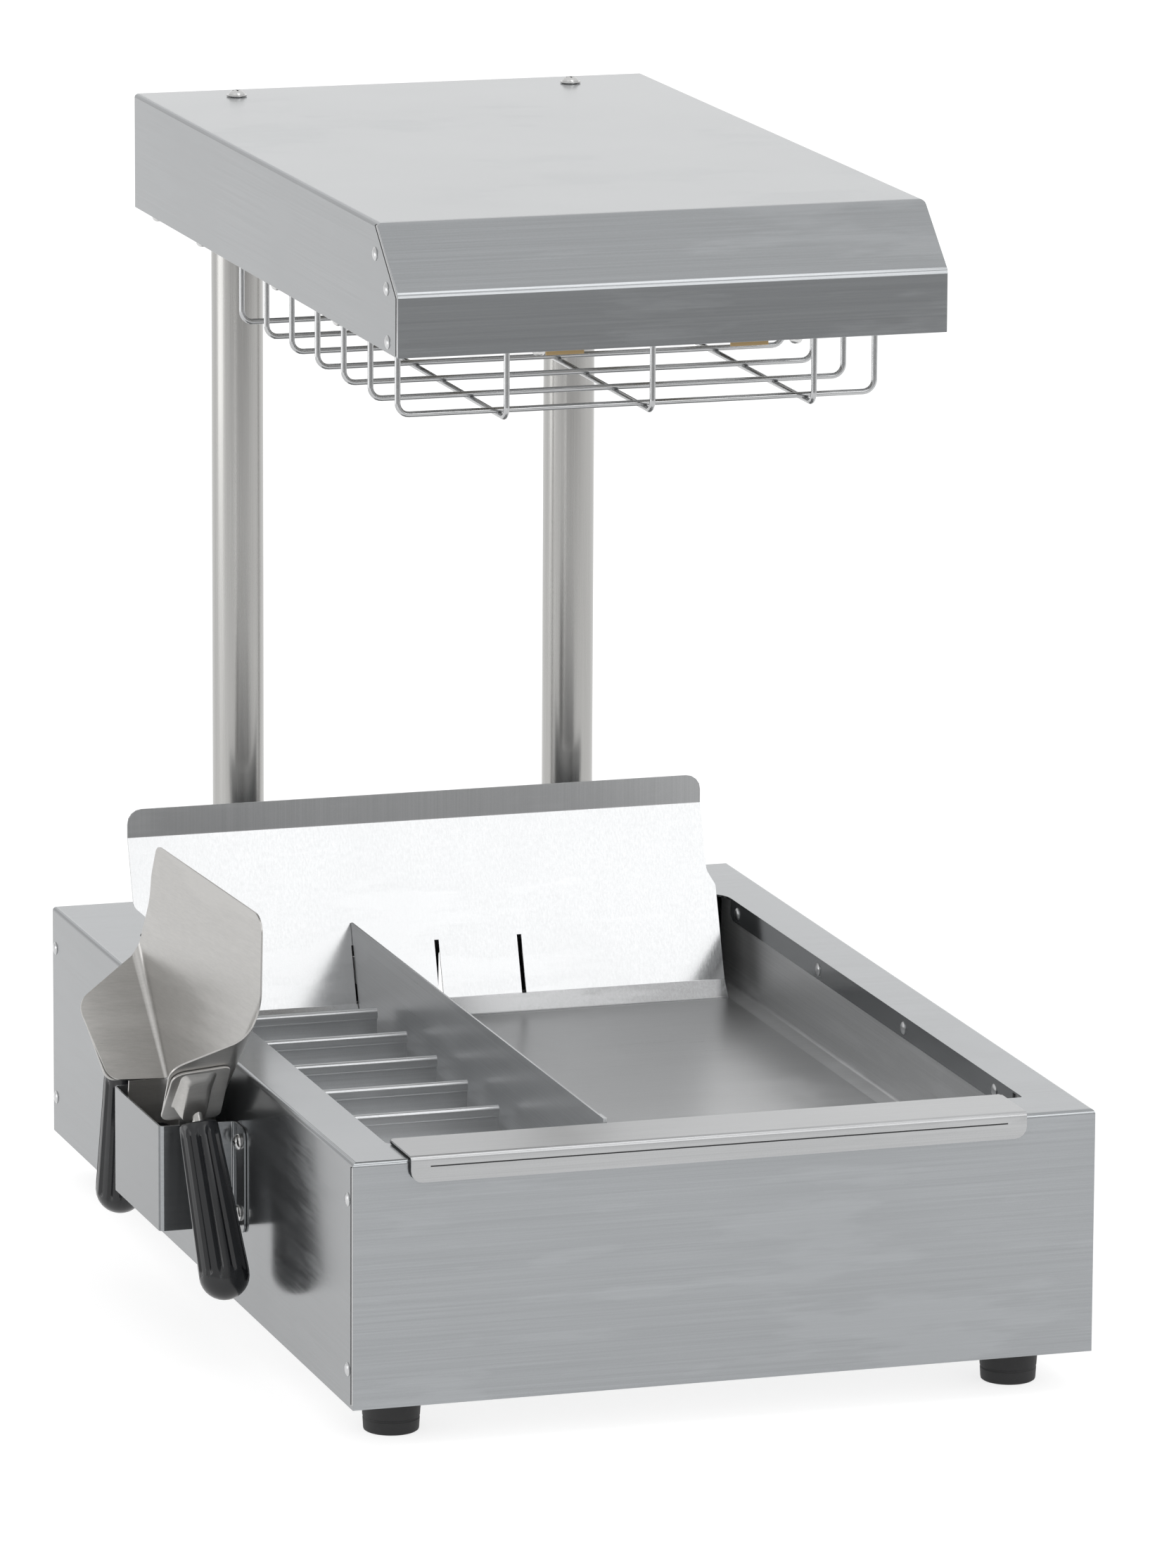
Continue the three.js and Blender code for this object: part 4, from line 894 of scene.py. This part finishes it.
class FRYSTATION_OT_rear_fittings(bpy.types.Operator):
    """Dress the switches and the cable gland on the rear panel"""

    bl_idname = "fry_station.rear_fittings"
    bl_label = "Dress Rear Fittings"

    def execute(self, context):
        fittings = context.scene.fry_station.fittings
        plastic = moulded("switch_plastic", fittings.grip_colour, 0.38, wear=0.3)
        red = moulded("rocker_plastic", (0.42, 0.018, 0.012), 0.28, wear=0.25)
        edge = (SWITCH_EDGE, SWITCH_STEPS)
        for number in (1, 2):
            dressed(f"switch_housing_{number}", plastic, "root", "switch_plastic", *edge)
            dressed(f"switch_rocker_{number}", red, f"rocker_{number}", "rocker_plastic", *edge)
        low, high, centre = measured("cable_gland")
        outward = facing(Vector((centre.x, high.y, centre.z)), (0, 1, 0))
        depth = (high.y - low.y) / MM
        mesh = bmesh.new()
        profile = [
            (4.0, 0), (6.4, 0), (7.4, -0.5), (8.0, -1.6), (8.2, -4.0), (9.2, -4.3), (9.9, -4.7),
            (9.9, -7.6), (9.6, -8.2), (8.0, -8.2), (8.0, -9.8), (9.8, -9.8), (9.8, -depth),
            (4.0, -depth),
        ]
        turned(mesh, profile, GLAND_SIDES, outward, closed=True)
        added("cable_gland_turned", mesh, plastic, "root", "switch_plastic", "cable_gland")
        return {"FINISHED"}


class FRYSTATION_OT_under_heater(bpy.types.Operator):
    """Finish the heater, shield and terminals under the well"""

    bl_idname = "fry_station.under_heater"
    bl_label = "Finish Under Heater"

    def execute(self, context):
        inner = inner_steel(context.scene.fry_station.sheets)
        painted("base_element", plated("element_sheath", (0.16, 0.15, 0.145), 0.48))
        for node in ("element_clip_front", "element_clip_rear", "heat_shield"):
            painted(node, inner)
        for node in ("thermostat", "terminal_block"):
            painted(node, heater_ceramic())
        return {"FINISHED"}


POST_RADIUS = 14.0
POST_BORE = 12.5
POST_EDGE = 0.3
SHANK_RADIUS = 3


class FRYSTATION_OT_posts(bpy.types.Operator):
    """Turn the posts and their screws"""

    bl_idname = "fry_station.posts"
    bl_label = "Turn Posts"

    def execute(self, context):
        station = context.scene.fry_station
        drawn = tube_steel("post_steel", (0.405, 0.401, 0.39))
        inner = inner_steel(station.sheets)
        screw = screw_steel()
        hood_screws = bmesh.new()
        head = screw_head(4.4, 2.4, (5.6, 0.8))
        for side in ("left", "right"):
            low, high, centre = measured(f"post_{side}")
            mesh = bmesh.new()
            profile = self.tube_profile(low.z / MM, high.z / MM)
            turned(mesh, profile, station.fittings.post_sides, upright(centre), closed=True)
            added(f"post_{side}_turned", mesh, drawn, "root", "post_steel", f"post_{side}")
            for end in ("bottom", "top"):
                painted(f"post_plug_{side}_{end}", inner)
            painted(f"post_screw_{side}", screw)
            seat = Vector((centre.x, centre.y, hood_high.z + 0.3 * MM))
            placed(hood_screws, head, facing(seat, (0, 0, 1)))
            screw_low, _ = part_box(f"hood_screw_{side}")
            foot, under = screw_low.z / MM, HOOD_TOP + 0.5
            shank = [(0, foot), (SHANK_RADIUS, foot), (SHANK_RADIUS, under), (0, under)]
            turned(hood_screws, shank, SHANK_SIDES, upright(centre))
        nodes = ("hood_screw_left", "hood_screw_right")
        added("hood_screws_cross", hood_screws, screw, "root", "screw_steel", *nodes)
        return {"FINISHED"}

    def tube_profile(self, bottom, top):
        inner, outer, edge = POST_BORE, POST_RADIUS, POST_EDGE
        return [
            (inner, bottom + edge), (inner + edge, bottom), (outer - edge, bottom),
            (outer, bottom + edge), (outer, top - edge), (outer - edge, top), (inner + edge, top),
            (inner, top - edge),
        ]


class FRYSTATION_OT_hood(bpy.types.Operator):
    """Dress the hood and the fixings on it"""

    bl_idname = "fry_station.hood"
    bl_label = "Dress Hood"

    def execute(self, context):
        sheets = context.scene.fry_station.sheets
        # Painted shade: the hood's sideways faces keep 0.82 of their colour.
        steel = brushed_steel("hood_steel", sheets.hood_colour, sides=0.82)
        edge, bend = sheets.edge_round, sheets.bend_round
        dressed("hood_shell", steel, "root", "hood_steel", edge, bend=bend)
        slant_front, slant_low = self.slant()
        front = HOOD_FRONT + SEAM_BACK
        paths = []
        for side in (-1, 1):
            x = side * (HOOD_HALF - SEAM_INSET)
            brow = spot(x, slant_front + 0.6, HOOD_TOP - 1.6)
            paths.append([brow, spot(x, front, slant_low), spot(x, front, HOOD_BOTTOM + 0.8)])
        seamed("hood_seam", paths, sheets.seam_width, "hood_steel")
        dressed("hood_bottom_panel", inner_steel(sheets), "root", "inner_steel", edge)
        rivets("hood_rivets", both_sides(HOOD_HALF, HOOD_RIVETS), sheets.rivet_radius, "hood_steel")
        self.add_edge_screws()
        painted("hood_lead", moulded("lead_rubber", (0.015, 0.015, 0.016), 0.6))
        return {"FINISHED"}

    def slant(self):
        """Where the top ends and the front starts, in millimetres, from the hood's own corners."""
        corners = [corner.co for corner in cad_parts["hood_shell"].data.vertices]
        front = min(corner.y for corner in corners if corner.z > hood_high.z - 0.2 * MM)
        low = max(corner.z for corner in corners if corner.y < hood_low.y + 0.2 * MM)
        return (front - FRONT) / MM, low / MM

    def add_edge_screws(self):
        mesh = bmesh.new()
        head = screw_head(3.4, 2.6)
        x = HOOD_HALF - SCREW_INSET
        places = [(side * x, y) for side in (-1, 1) for y in SIDE_SCREWS]
        places += [(x, HOOD_FRONT + SCREW_INSET) for x in FRONT_SCREWS]
        for x, y in places:
            placed(mesh, head, facing(spot(x, y, HOOD_BOTTOM), (0, 0, -1)))
        added("hood_edge_screws", mesh, screw_steel(), "root", "screw_steel")


THIN_EDGE = 0.25 * MM
TUBE_SIDES = 36
TUBE_CAP = (
    (0, 0), (4.2, 0), (4.6, 0.4), (6.6, 0.4), (7.0, 0.9), (7.0, 13.0), (6.6, 13.6), (5.5, 14.0),
)


class FRYSTATION_OT_heater(bpy.types.Operator):
    """Dress the reflector, heating tubes and brackets"""

    bl_idname = "fry_station.heater"
    bl_label = "Dress Heater"

    def execute(self, context):
        fittings = context.scene.fry_station.fittings
        mirror = plated("reflector_steel", (0.74, 0.74, 0.735), 0.2, 120.0)
        dressed("reflector", mirror, "root", "reflector_steel", THIN_EDGE)
        bronze = plated("bracket_bronze", fittings.bracket_colour, 0.36, 500.0)
        for side in ("left", "right"):
            for end in ("front", "rear"):
                dressed(f"tube_bracket_{side}_{end}", bronze, "root", "bracket_bronze", THIN_EDGE)
            node = f"heating_tube_{side}"
            low, high, centre = measured(node)
            length = (high.y - low.y) / MM
            along = facing(Vector((centre.x, low.y, centre.z)), (0, 1, 0))
            mesh = bmesh.new()
            far_cap = [(radius, length - height) for radius, height in reversed(TUBE_CAP)]
            turned(mesh, [*TUBE_CAP, *far_cap], TUBE_SIDES, along)
            added(f"{node}_turned", mesh, heater_ceramic(), "root", "heater_ceramic", node)
        return {"FINISHED"}


GUARD_HALF = 126.6
GUARD_RAIL = HOOD_BOTTOM - 0.8
GUARD_BOTTOM = 492.8
GUARD_ROUTE = (
    (-GUARD_HALF, GUARD_RAIL), (-GUARD_HALF, GUARD_BOTTOM), (GUARD_HALF, GUARD_BOTTOM),
    (GUARD_HALF, GUARD_RAIL),
)
GUARD_FIRST = HOOD_FRONT + 59.8
GUARD_PITCH = 48.3
GUARD_WIRES = 7
LONG_WIRES = (-73, 4, 90)
LONG_DROP = 2.5
LONG_REACH = 12


class FRYSTATION_OT_wire_guard(bpy.types.Operator):
    """Bend the wire guard under the hood"""

    bl_idname = "fry_station.wire_guard"
    bl_label = "Bend Wire Guard"

    def execute(self, context):
        fittings = context.scene.fry_station.fittings
        radius, sides = fittings.wire_radius, fittings.wire_sides
        _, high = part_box("wire_guard")
        mesh = bmesh.new()
        for k in range(GUARD_WIRES):
            points = [spot(x, GUARD_FIRST + k * GUARD_PITCH, z) for x, z in GUARD_ROUTE]
            swept(mesh, eased(points, fittings.wire_bend), radius, sides)
        front = GUARD_FIRST - LONG_REACH
        rear = GUARD_FIRST + (GUARD_WIRES - 1) * GUARD_PITCH + LONG_REACH
        top, under = high.z / MM, GUARD_BOTTOM - LONG_DROP
        route = ((front, top), (front, under), (rear, under), (rear, top))
        for x in LONG_WIRES:
            points = [spot(x, y, z) for y, z in route]
            swept(mesh, eased(points, fittings.wire_bend), radius, sides)
        for side in (-1, 1):
            x = side * (GUARD_HALF - radius / MM)
            swept(mesh, [spot(x, front, GUARD_RAIL), spot(x, rear, GUARD_RAIL)], radius, sides)
        chrome = plated("wire_steel", (0.46, 0.465, 0.47), 0.2, 400.0)
        added("wire_guard_bent", mesh, chrome, "root", "wire_steel", "wire_guard")
        return {"FINISHED"}


HOLDER_HEAD = (4.35, 2.6)


class FRYSTATION_OT_holders(bpy.types.Operator):
    """Dress the scoop holders and their screws"""

    bl_idname = "fry_station.holders"
    bl_label = "Dress Holders"

    def execute(self, context):
        sheets = context.scene.fry_station.sheets
        # Painted shade: the holders' sideways faces keep 0.6 of their colour.
        steel = brushed_steel("holder_steel", sheets.casing_colour, sides=0.6)
        head = screw_head(*HOLDER_HEAD)
        for name, side in (("left", -1), ("right", 1)):
            dressed(f"scoop_holder_{name}", steel, "root", "casing_steel", sheets.edge_round)
            for height in ("high", "low"):
                node = f"holder_screw_{name}_{height}"
                low, high, centre = measured(node)
                outer = high.x if side > 0 else low.x
                base = Vector((outer - side * HOLDER_HEAD[1] * MM, centre.y, centre.z))
                outward = facing(base, (side, 0, 0))
                mesh = bmesh.new()
                placed(mesh, head, outward)
                turned(mesh, [(0, 0), (2, 0), (2, -8), (0, -8)], SHANK_SIDES, outward)
                added(f"{node}_cross", mesh, screw_steel(), "root", "screw_steel", node)
        return {"FINISHED"}


# The scoop in millimetres, its blade drawn flat: X along the casing's side and Y up

SCOOP_PLACE = (-CASING_HALF - 9, 251.55, 178.6)
SCOOP_TURNS = ((7, "Z"), (3, "X"), (2, "Y"))
REAR_CORNERS = ((64, 61, 6), (69.2, 44, 30), (70, 30, 30))
FRONT_CORNER = (77, 60, 10)
FLAP_CORNERS = ((28.2, 41.5, 12), (72.9, 33, 8))
FOLD_TOP = 82.5
FOLD_FOOT = (35, -57)
FOLD_RUN = (-47.5, -57)
FOLD_LENGTH = 74.2
FRONT_ROLL = 13
REAR_ROLL = 6
ROLL_CUTS = 6
GRIP_PLACE = (-CASING_HALF - 28, 258.75, 123)
GRIP_APART = 62
GRIP_ASKEW = 3
GRIP_SPLAY = math.radians(22.0)
GRIP_LEAN = math.radians(4.0)
GRIP_LENGTH = 92.0
GRIP_END = 13.0
GRIP_HOLE = 30.0
PLATE_CORNERS = ((31, 39.5, 7), (26, 9, 4), (72.5, 1, 4), (72.7, 34.3, 6))
SOCKET_STEPS = ((-1.0, 0.0), (0.0, 0.0), (1.0, 0.12), (2.4, 0.75), (3.4, 0.96), (4.8, 1.0))
THROAT = (
    (35, 22.5, 0), (35, 0, 7), (-35, 0, 7), (-35, 22.5, 0), (-34, 22.5, 0), (-34, 1, 6), (34, 1, 6),
    (34, 22.5, 0),
)


class FRYSTATION_OT_scoop(bpy.types.Operator):
    """Fold the scoop's blade, press its handle plates and turn its grips"""

    bl_idname = "fry_station.scoop"
    bl_label = "Make Scoop"

    def execute(self, context):
        station = context.scene.fry_station
        steel = brushed_steel("scoop_steel", station.sheets.scoop_colour, roughness=0.3)
        added("scoop_blade_folded", self.blade(), steel, "scoop", "scoop_steel", "scoop_blade")
        plastic = moulded("grip_plastic", station.fittings.grip_colour, 0.2, wear=0.6)
        for name, side in (("front", -1), ("rear", 1)):
            matrix = self.grip_matrix(side)
            plate, grip = f"handle_plate_{name}", f"handle_grip_{name}"
            mesh = self.handle_plate(side, matrix)
            added(f"{plate}_pressed", mesh, steel, "scoop", "scoop_steel", plate)
            mesh = self.grip(matrix, station.fittings)
            added(f"{grip}_fluted", mesh, plastic, "scoop", "grip_plastic", grip)
        return {"FINISHED"}

    def scoop_matrix(self):
        """The scoop's directions, in millimetres: along the casing's side, up, and outward."""
        turn = Matrix.Identity(4)
        for angle, axis in SCOOP_TURNS:
            turn = turn @ Matrix.Rotation(math.radians(angle), 4, axis)
        basis = Matrix(((0, 0, -1, 0), (1, 0, 0, 0), (0, 1, 0, 0), (0, 0, 0, 1)))
        origin = Matrix.Translation(spot(*SCOOP_PLACE))
        return origin @ turn @ basis @ Matrix.Scale(MM, 4)

    def flap_matrix(self, side):
        """A flap's directions from its fold's top: down the fold, outward, and across the sheet."""
        run, rise = FOLD_RUN
        fold = Vector((run * side, rise, 0)).normalized()
        outward = Vector((0, 0, 1))
        across = fold.cross(outward)
        turn = Matrix((fold, outward, across)).transposed().to_4x4()
        return self.scoop_matrix() @ Matrix.Translation((FOLD_TOP * side, 0, 0)) @ turn

    def fold_line(self):
        """The top of a fold on the flat blade, the way down it, and the way across it."""
        fold = Vector(FOLD_RUN).normalized()
        return Vector((FOLD_TOP, 0)), fold, Vector((-fold.y, fold.x))

    def roll(self, side, down):
        """The radius of a fold, which is rounder in front and tightens towards the throat."""
        wide = REAR_ROLL if side > 0 else FRONT_ROLL
        return wide * (1 - 0.5 * down / FOLD_LENGTH)

    def bent(self, point, depth):
        """Where a point of the flat blade lies once its two cone-shaped folds are made."""
        side = 1 if point.x >= 0 else -1
        top, fold, away = self.fold_line()
        offset = Vector((abs(point.x), point.y)) - top
        down, out = offset.dot(fold), offset.dot(away)
        radius = self.roll(side, down)
        share = min(max((out + radius) / (2 * radius), 0.0), 1.0)
        angle = share * math.pi / 2
        flat = min(out + radius, 0.0)
        raised = max(out - radius, 0.0)
        beside = flat - radius + (radius - depth) * math.sin(angle)
        height = raised + radius - (radius - depth) * math.cos(angle)
        place = top + fold * down + away * beside
        return Vector((place.x * side, place.y, height))

    def flat_blade(self):
        """The blade before it is folded, with cuts where its folds will be."""
        top, fold, away = self.fold_line()
        flap = [(FOLD_TOP, 0, 18)]
        flap += [(*(top + fold * down + away * out), radius) for down, out, radius in FLAP_CORNERS]
        flap += [(*FOLD_FOOT, 0)]
        rear = [*REAR_CORNERS, *flap]
        front = [(-x, y, radius) for x, y, radius in reversed([FRONT_CORNER, *flap])]
        flat = bmesh.new()
        flat.faces.new([flat.verts.new((x, y, 0)) for x, y in rounded_outline(rear + front, 8)])
        self.cut(flat, Vector((0, 0, 0)), Vector((1, 0, 0)), 0)
        for side in (-1, 1):
            for k in range(-ROLL_CUTS, ROLL_CUTS + 1):
                share = k / ROLL_CUTS
                start, end = (
                    top + fold * down + away * share * self.roll(side, down)
                    for down in (0, FOLD_LENGTH)
                )
                line = end - start
                origin = Vector((start.x * side, start.y, 0))
                self.cut(flat, origin, Vector((-line.y * side, line.x, 0)), side)
        return flat

    def blade(self):
        flat = self.flat_blade()
        matrix = self.scoop_matrix()
        mesh = bmesh.new()
        outer, inner = (
            {corner: mesh.verts.new(matrix @ self.bent(corner.co, depth)) for corner in flat.verts}
            for depth in (0, 1)
        )
        for face in flat.faces:
            mesh.faces.new([outer[corner] for corner in face.verts])
            mesh.faces.new([inner[corner] for corner in reversed(face.verts)])
        for edge in flat.edges:
            if edge.is_boundary:
                first, second = edge.verts
                mesh.faces.new([outer[first], outer[second], inner[second], inner[first]])
        flat.free()
        bmesh.ops.recalc_face_normals(mesh, faces=mesh.faces)
        softened(mesh, THIN_EDGE, sharp=50.0)
        self.add_throat(mesh, matrix)
        return mesh

    def cut(self, mesh, origin, normal, side):
        """Cuts the flat blade along a line, on one side only where a side is given."""
        faces = [face for face in mesh.faces if side == 0 or face.calc_center_median().x * side > 0]
        edges = list({edge for face in faces for edge in face.edges})
        corners = list({corner for face in faces for corner in face.verts})
        whole = faces + edges + corners
        bmesh.ops.bisect_plane(mesh, geom=whole, dist=1e-4, plane_co=origin, plane_no=normal)

    def add_throat(self, mesh, matrix):
        """The channel under the blade, which stands in the holder."""
        points = rounded_outline(THROAT)
        lofted(mesh, [[matrix @ Vector((x, y, z)) for x, z in points] for y in (-80, -56.5)])

    def handle_plate(self, side, grip):
        """A plate on a flap with a pressed socket, and the tang from it into the grip."""
        matrix = self.flap_matrix(side)
        outward = -side
        mesh = bmesh.new()
        plate = rounded_outline(PLATE_CORNERS, 5)
        lofted(mesh, [[matrix @ Vector((x, y, outward * z)) for x, y in plate] for z in (0.3, 1.8)])
        softened(mesh, 0.5 * MM)
        socket = bmesh.new()
        rings = []
        for inset, share in SOCKET_STEPS:
            corners = [
                (31.5 + inset, 34.5 - inset, 3), (29.5 + inset, 15.5 + inset, 3),
                (61 - inset * 0.5, 12.5 + inset, 3), (61.5 - inset * 0.5, 32 - inset, 3),
            ]
            points = []
            for x, y in rounded_outline(corners, 4):
                rise = 1.0 if inset < 0 else 1.8 + share * (1.4 + 8.0 * (x - 30) / 28)
                points.append(matrix @ Vector((x, y, outward * rise)))
            rings.append(points)
        lofted(socket, rings)
        mesh.from_mesh(as_mesh("socket", socket))
        root = matrix @ Vector((54, 20, outward * 5))
        elbow, tip = (grip @ Vector((0, 0, height * MM)) for height in (-4, 38))
        swept(mesh, eased([root, elbow, tip], 4 * MM), 2.9 * MM, 16)
        return mesh

    def grip_matrix(self, side):
        """A grip's top, with its Z along the grip."""
        down = Vector((math.sin(GRIP_LEAN), side * math.sin(GRIP_SPLAY), -math.cos(GRIP_SPLAY)))
        x, y, z = GRIP_PLACE
        place = spot(x - GRIP_ASKEW * side, y + side * GRIP_APART, z)
        return facing(place, down.normalized())

    def grip_rows(self):
        """Rings of a grip as (radius, height, share of the groove's depth)."""
        neck = GRIP_LENGTH - GRIP_END
        rows = [
            (3.2, GRIP_HOLE, 0.0), (3.2, 0.5, 0.0), (3.9, 0.0, 0.0), (8.8, 0.0, 0.0),
            (9.8, 0.8, 0.0), (10.1, 2.2, 0.0), (10.2, 4.0, 0.0), (10.3, 6.0, 0.6),
        ]
        for k in range(9):
            share = k / 8
            rows.append((10.4 + 2.5 * share, 8.0 + (neck - 12.0) * share, 1.0))
        rows += [(12.95, neck - 1.0, 0.6), (GRIP_END, neck, 0.0)]
        for k in range(1, 8):
            angle = math.pi / 2 * k / 8
            rows.append((GRIP_END * math.cos(angle), neck + GRIP_END * math.sin(angle), 0.0))
        return rows

    def grip(self, matrix, fittings):
        mesh = bmesh.new()
        sides = fittings.flutes * 8
        depth = fittings.flute_depth / MM
        rings = []
        for radius, height, cut in self.grip_rows():
            corners = []
            for k in range(sides):
                angle = math.tau * k / sides
                groove = max(0.0, math.cos(angle * fittings.flutes)) ** 1.5
                reach = (radius - depth * cut * groove) * MM
                point = Vector((reach * math.cos(angle), reach * math.sin(angle), height * MM))
                corners.append(mesh.verts.new(matrix @ point))
            rings.append(corners)
        tip = [mesh.verts.new(matrix @ Vector((0, 0, GRIP_LENGTH * MM)))]
        inside = [mesh.verts.new(matrix @ Vector((0, 0, GRIP_HOLE * MM)))]
        for low, high in zip([inside, *rings], [*rings, tip]):
            bridged(mesh, low, high)
        return mesh


LIP_TOP = CASING_TOP + 2
LIP_LINE = (-156, 147)
SPLASH_FOOT = 466
SPLASH_BAND = 15.6


class FRYSTATION_OT_insert(bpy.types.Operator):
    """Dress the lift-out insert"""

    bl_idname = "fry_station.insert"
    bl_label = "Dress Insert"

    def execute(self, context):
        sheets = context.scene.fry_station.sheets
        low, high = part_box("insert_pan")
        steel = brushed_steel(
            "insert_steel", sheets.insert_colour, roughness=0.14,
            upright_behind=spot(0, SPLASH_FOOT, 0).y, rough_above=high.z - SPLASH_BAND * MM,
        )
        groove = self.lip_bar(low.y, 0, (-0.5, 0.5), (5.8, 5.1))
        edge = (sheets.edge_round, sheets.edge_steps)
        dressed("insert_pan", steel, "insert", "insert_steel", *edge, groove)
        # Painted shade: a dark bar in the lip's groove stands for the shade in the crease.
        line = self.lip_bar(low.y, 0.1, (0.05, 0.6), (5.9, 5.0))
        added("lip_line", line, gap_shadow(), "insert", "insert_steel")
        return {"FINISHED"}

    def lip_bar(self, front, inset, depths, drops):
        """A thin bar on the lip: in from its ends, back from its front, and down from its top."""
        left, right = (spot(x, 0, 0).x for x in LIP_LINE)
        near, far = (front + depth * MM for depth in depths)
        bottom, top = ((LIP_TOP - drop) * MM for drop in drops)
        low = Vector((left + inset * MM, near, bottom))
        high = Vector((right - inset * MM, far, top))
        mesh = bmesh.new()
        block(mesh, low, high)
        return mesh


class FRYSTATION_OT_rack(bpy.types.Operator):
    """Dress the partition and the bag rack"""

    bl_idname = "fry_station.rack"
    bl_label = "Dress Rack"

    def execute(self, context):
        sheets = context.scene.fry_station.sheets
        steel = brushed_steel("rack_steel", sheets.rack_colour, roughness=0.3)
        bend = sheets.bend_round * 0.6
        dressed("partition", steel, "divider", "rack_steel", sheets.edge_round, bend=bend)
        dressed("bag_rack_base", steel, "bag_rack", "rack_steel", 0.2 * MM)
        for number in range(1, 6):
            node = f"bag_rack_rib_{number}"
            added(f"{node}_hemmed", self.rib(node), steel, "bag_rack", "rack_steel", node)
        return {"FINISHED"}

    def rib(self, node):
        """An upright sheet with a foot and a thick rounded hem."""
        low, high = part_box(node)
        middle = high.y - 2 * MM
        rear, front = middle + 0.5 * MM, middle - 0.5 * MM
        hem_rear, hem_front = middle + 2 * MM, middle - 2 * MM
        neck, hem = high.z - 6 * MM, high.z - 5.6 * MM
        foot_top = low.z + 1 * MM
        mesh = bmesh.new()
        profile = [
            (low.y, low.z, 0.3), (rear, low.z, 0.8), (rear, neck, 0.2), (hem_rear, hem, 0.6),
            (hem_rear, high.z, 1.9), (hem_front, high.z, 1.9), (hem_front, hem, 0.6),
            (front, neck, 0.2), (front, foot_top, 0.3), (low.y, foot_top, 0.3),
        ]
        points = rounded_outline([(y, z, radius * MM) for y, z, radius in profile])
        lofted(mesh, [[Vector((x, y, z)) for y, z in points] for x in (low.x, high.x)])
        return mesh


class FRYSTATION_PT_panel(bpy.types.Panel):
    """Lists what makes the station's looks, in order"""

    bl_idname = "FRYSTATION_PT_panel"
    bl_label = "Fry Station"
    bl_space_type = "VIEW_3D"
    bl_region_type = "UI"
    bl_category = "Fry Station"

    def draw(self, context):
        for operator in OPERATORS:
            self.layout.operator(operator.bl_idname)


SETTINGS = (SheetSettings, FittingSettings, StageSettings, StationSettings)
OPERATORS = (
    FRYSTATION_OT_stage,
    FRYSTATION_OT_casing,
    FRYSTATION_OT_feet,
    FRYSTATION_OT_rear_fittings,
    FRYSTATION_OT_under_heater,
    FRYSTATION_OT_posts,
    FRYSTATION_OT_hood,
    FRYSTATION_OT_heater,
    FRYSTATION_OT_wire_guard,
    FRYSTATION_OT_holders,
    FRYSTATION_OT_scoop,
    FRYSTATION_OT_insert,
    FRYSTATION_OT_rack,
)


def register():
    for made in (*SETTINGS, *OPERATORS, FRYSTATION_PT_panel):
        bpy.utils.register_class(made)
    bpy.types.Scene.fry_station = PointerProperty(type=StationSettings)


def unregister():
    del bpy.types.Scene.fry_station
    for made in reversed((*SETTINGS, *OPERATORS, FRYSTATION_PT_panel)):
        bpy.utils.unregister_class(made)


def main():
    register()
    bpy.ops.fry_station.stage()
    bpy.ops.fry_station.casing()
    bpy.ops.fry_station.feet()
    bpy.ops.fry_station.rear_fittings()
    bpy.ops.fry_station.under_heater()
    bpy.ops.fry_station.posts()
    bpy.ops.fry_station.hood()
    bpy.ops.fry_station.heater()
    bpy.ops.fry_station.wire_guard()
    bpy.ops.fry_station.holders()
    bpy.ops.fry_station.scoop()
    bpy.ops.fry_station.insert()
    bpy.ops.fry_station.rack()


if __name__ == "__main__":
    main()
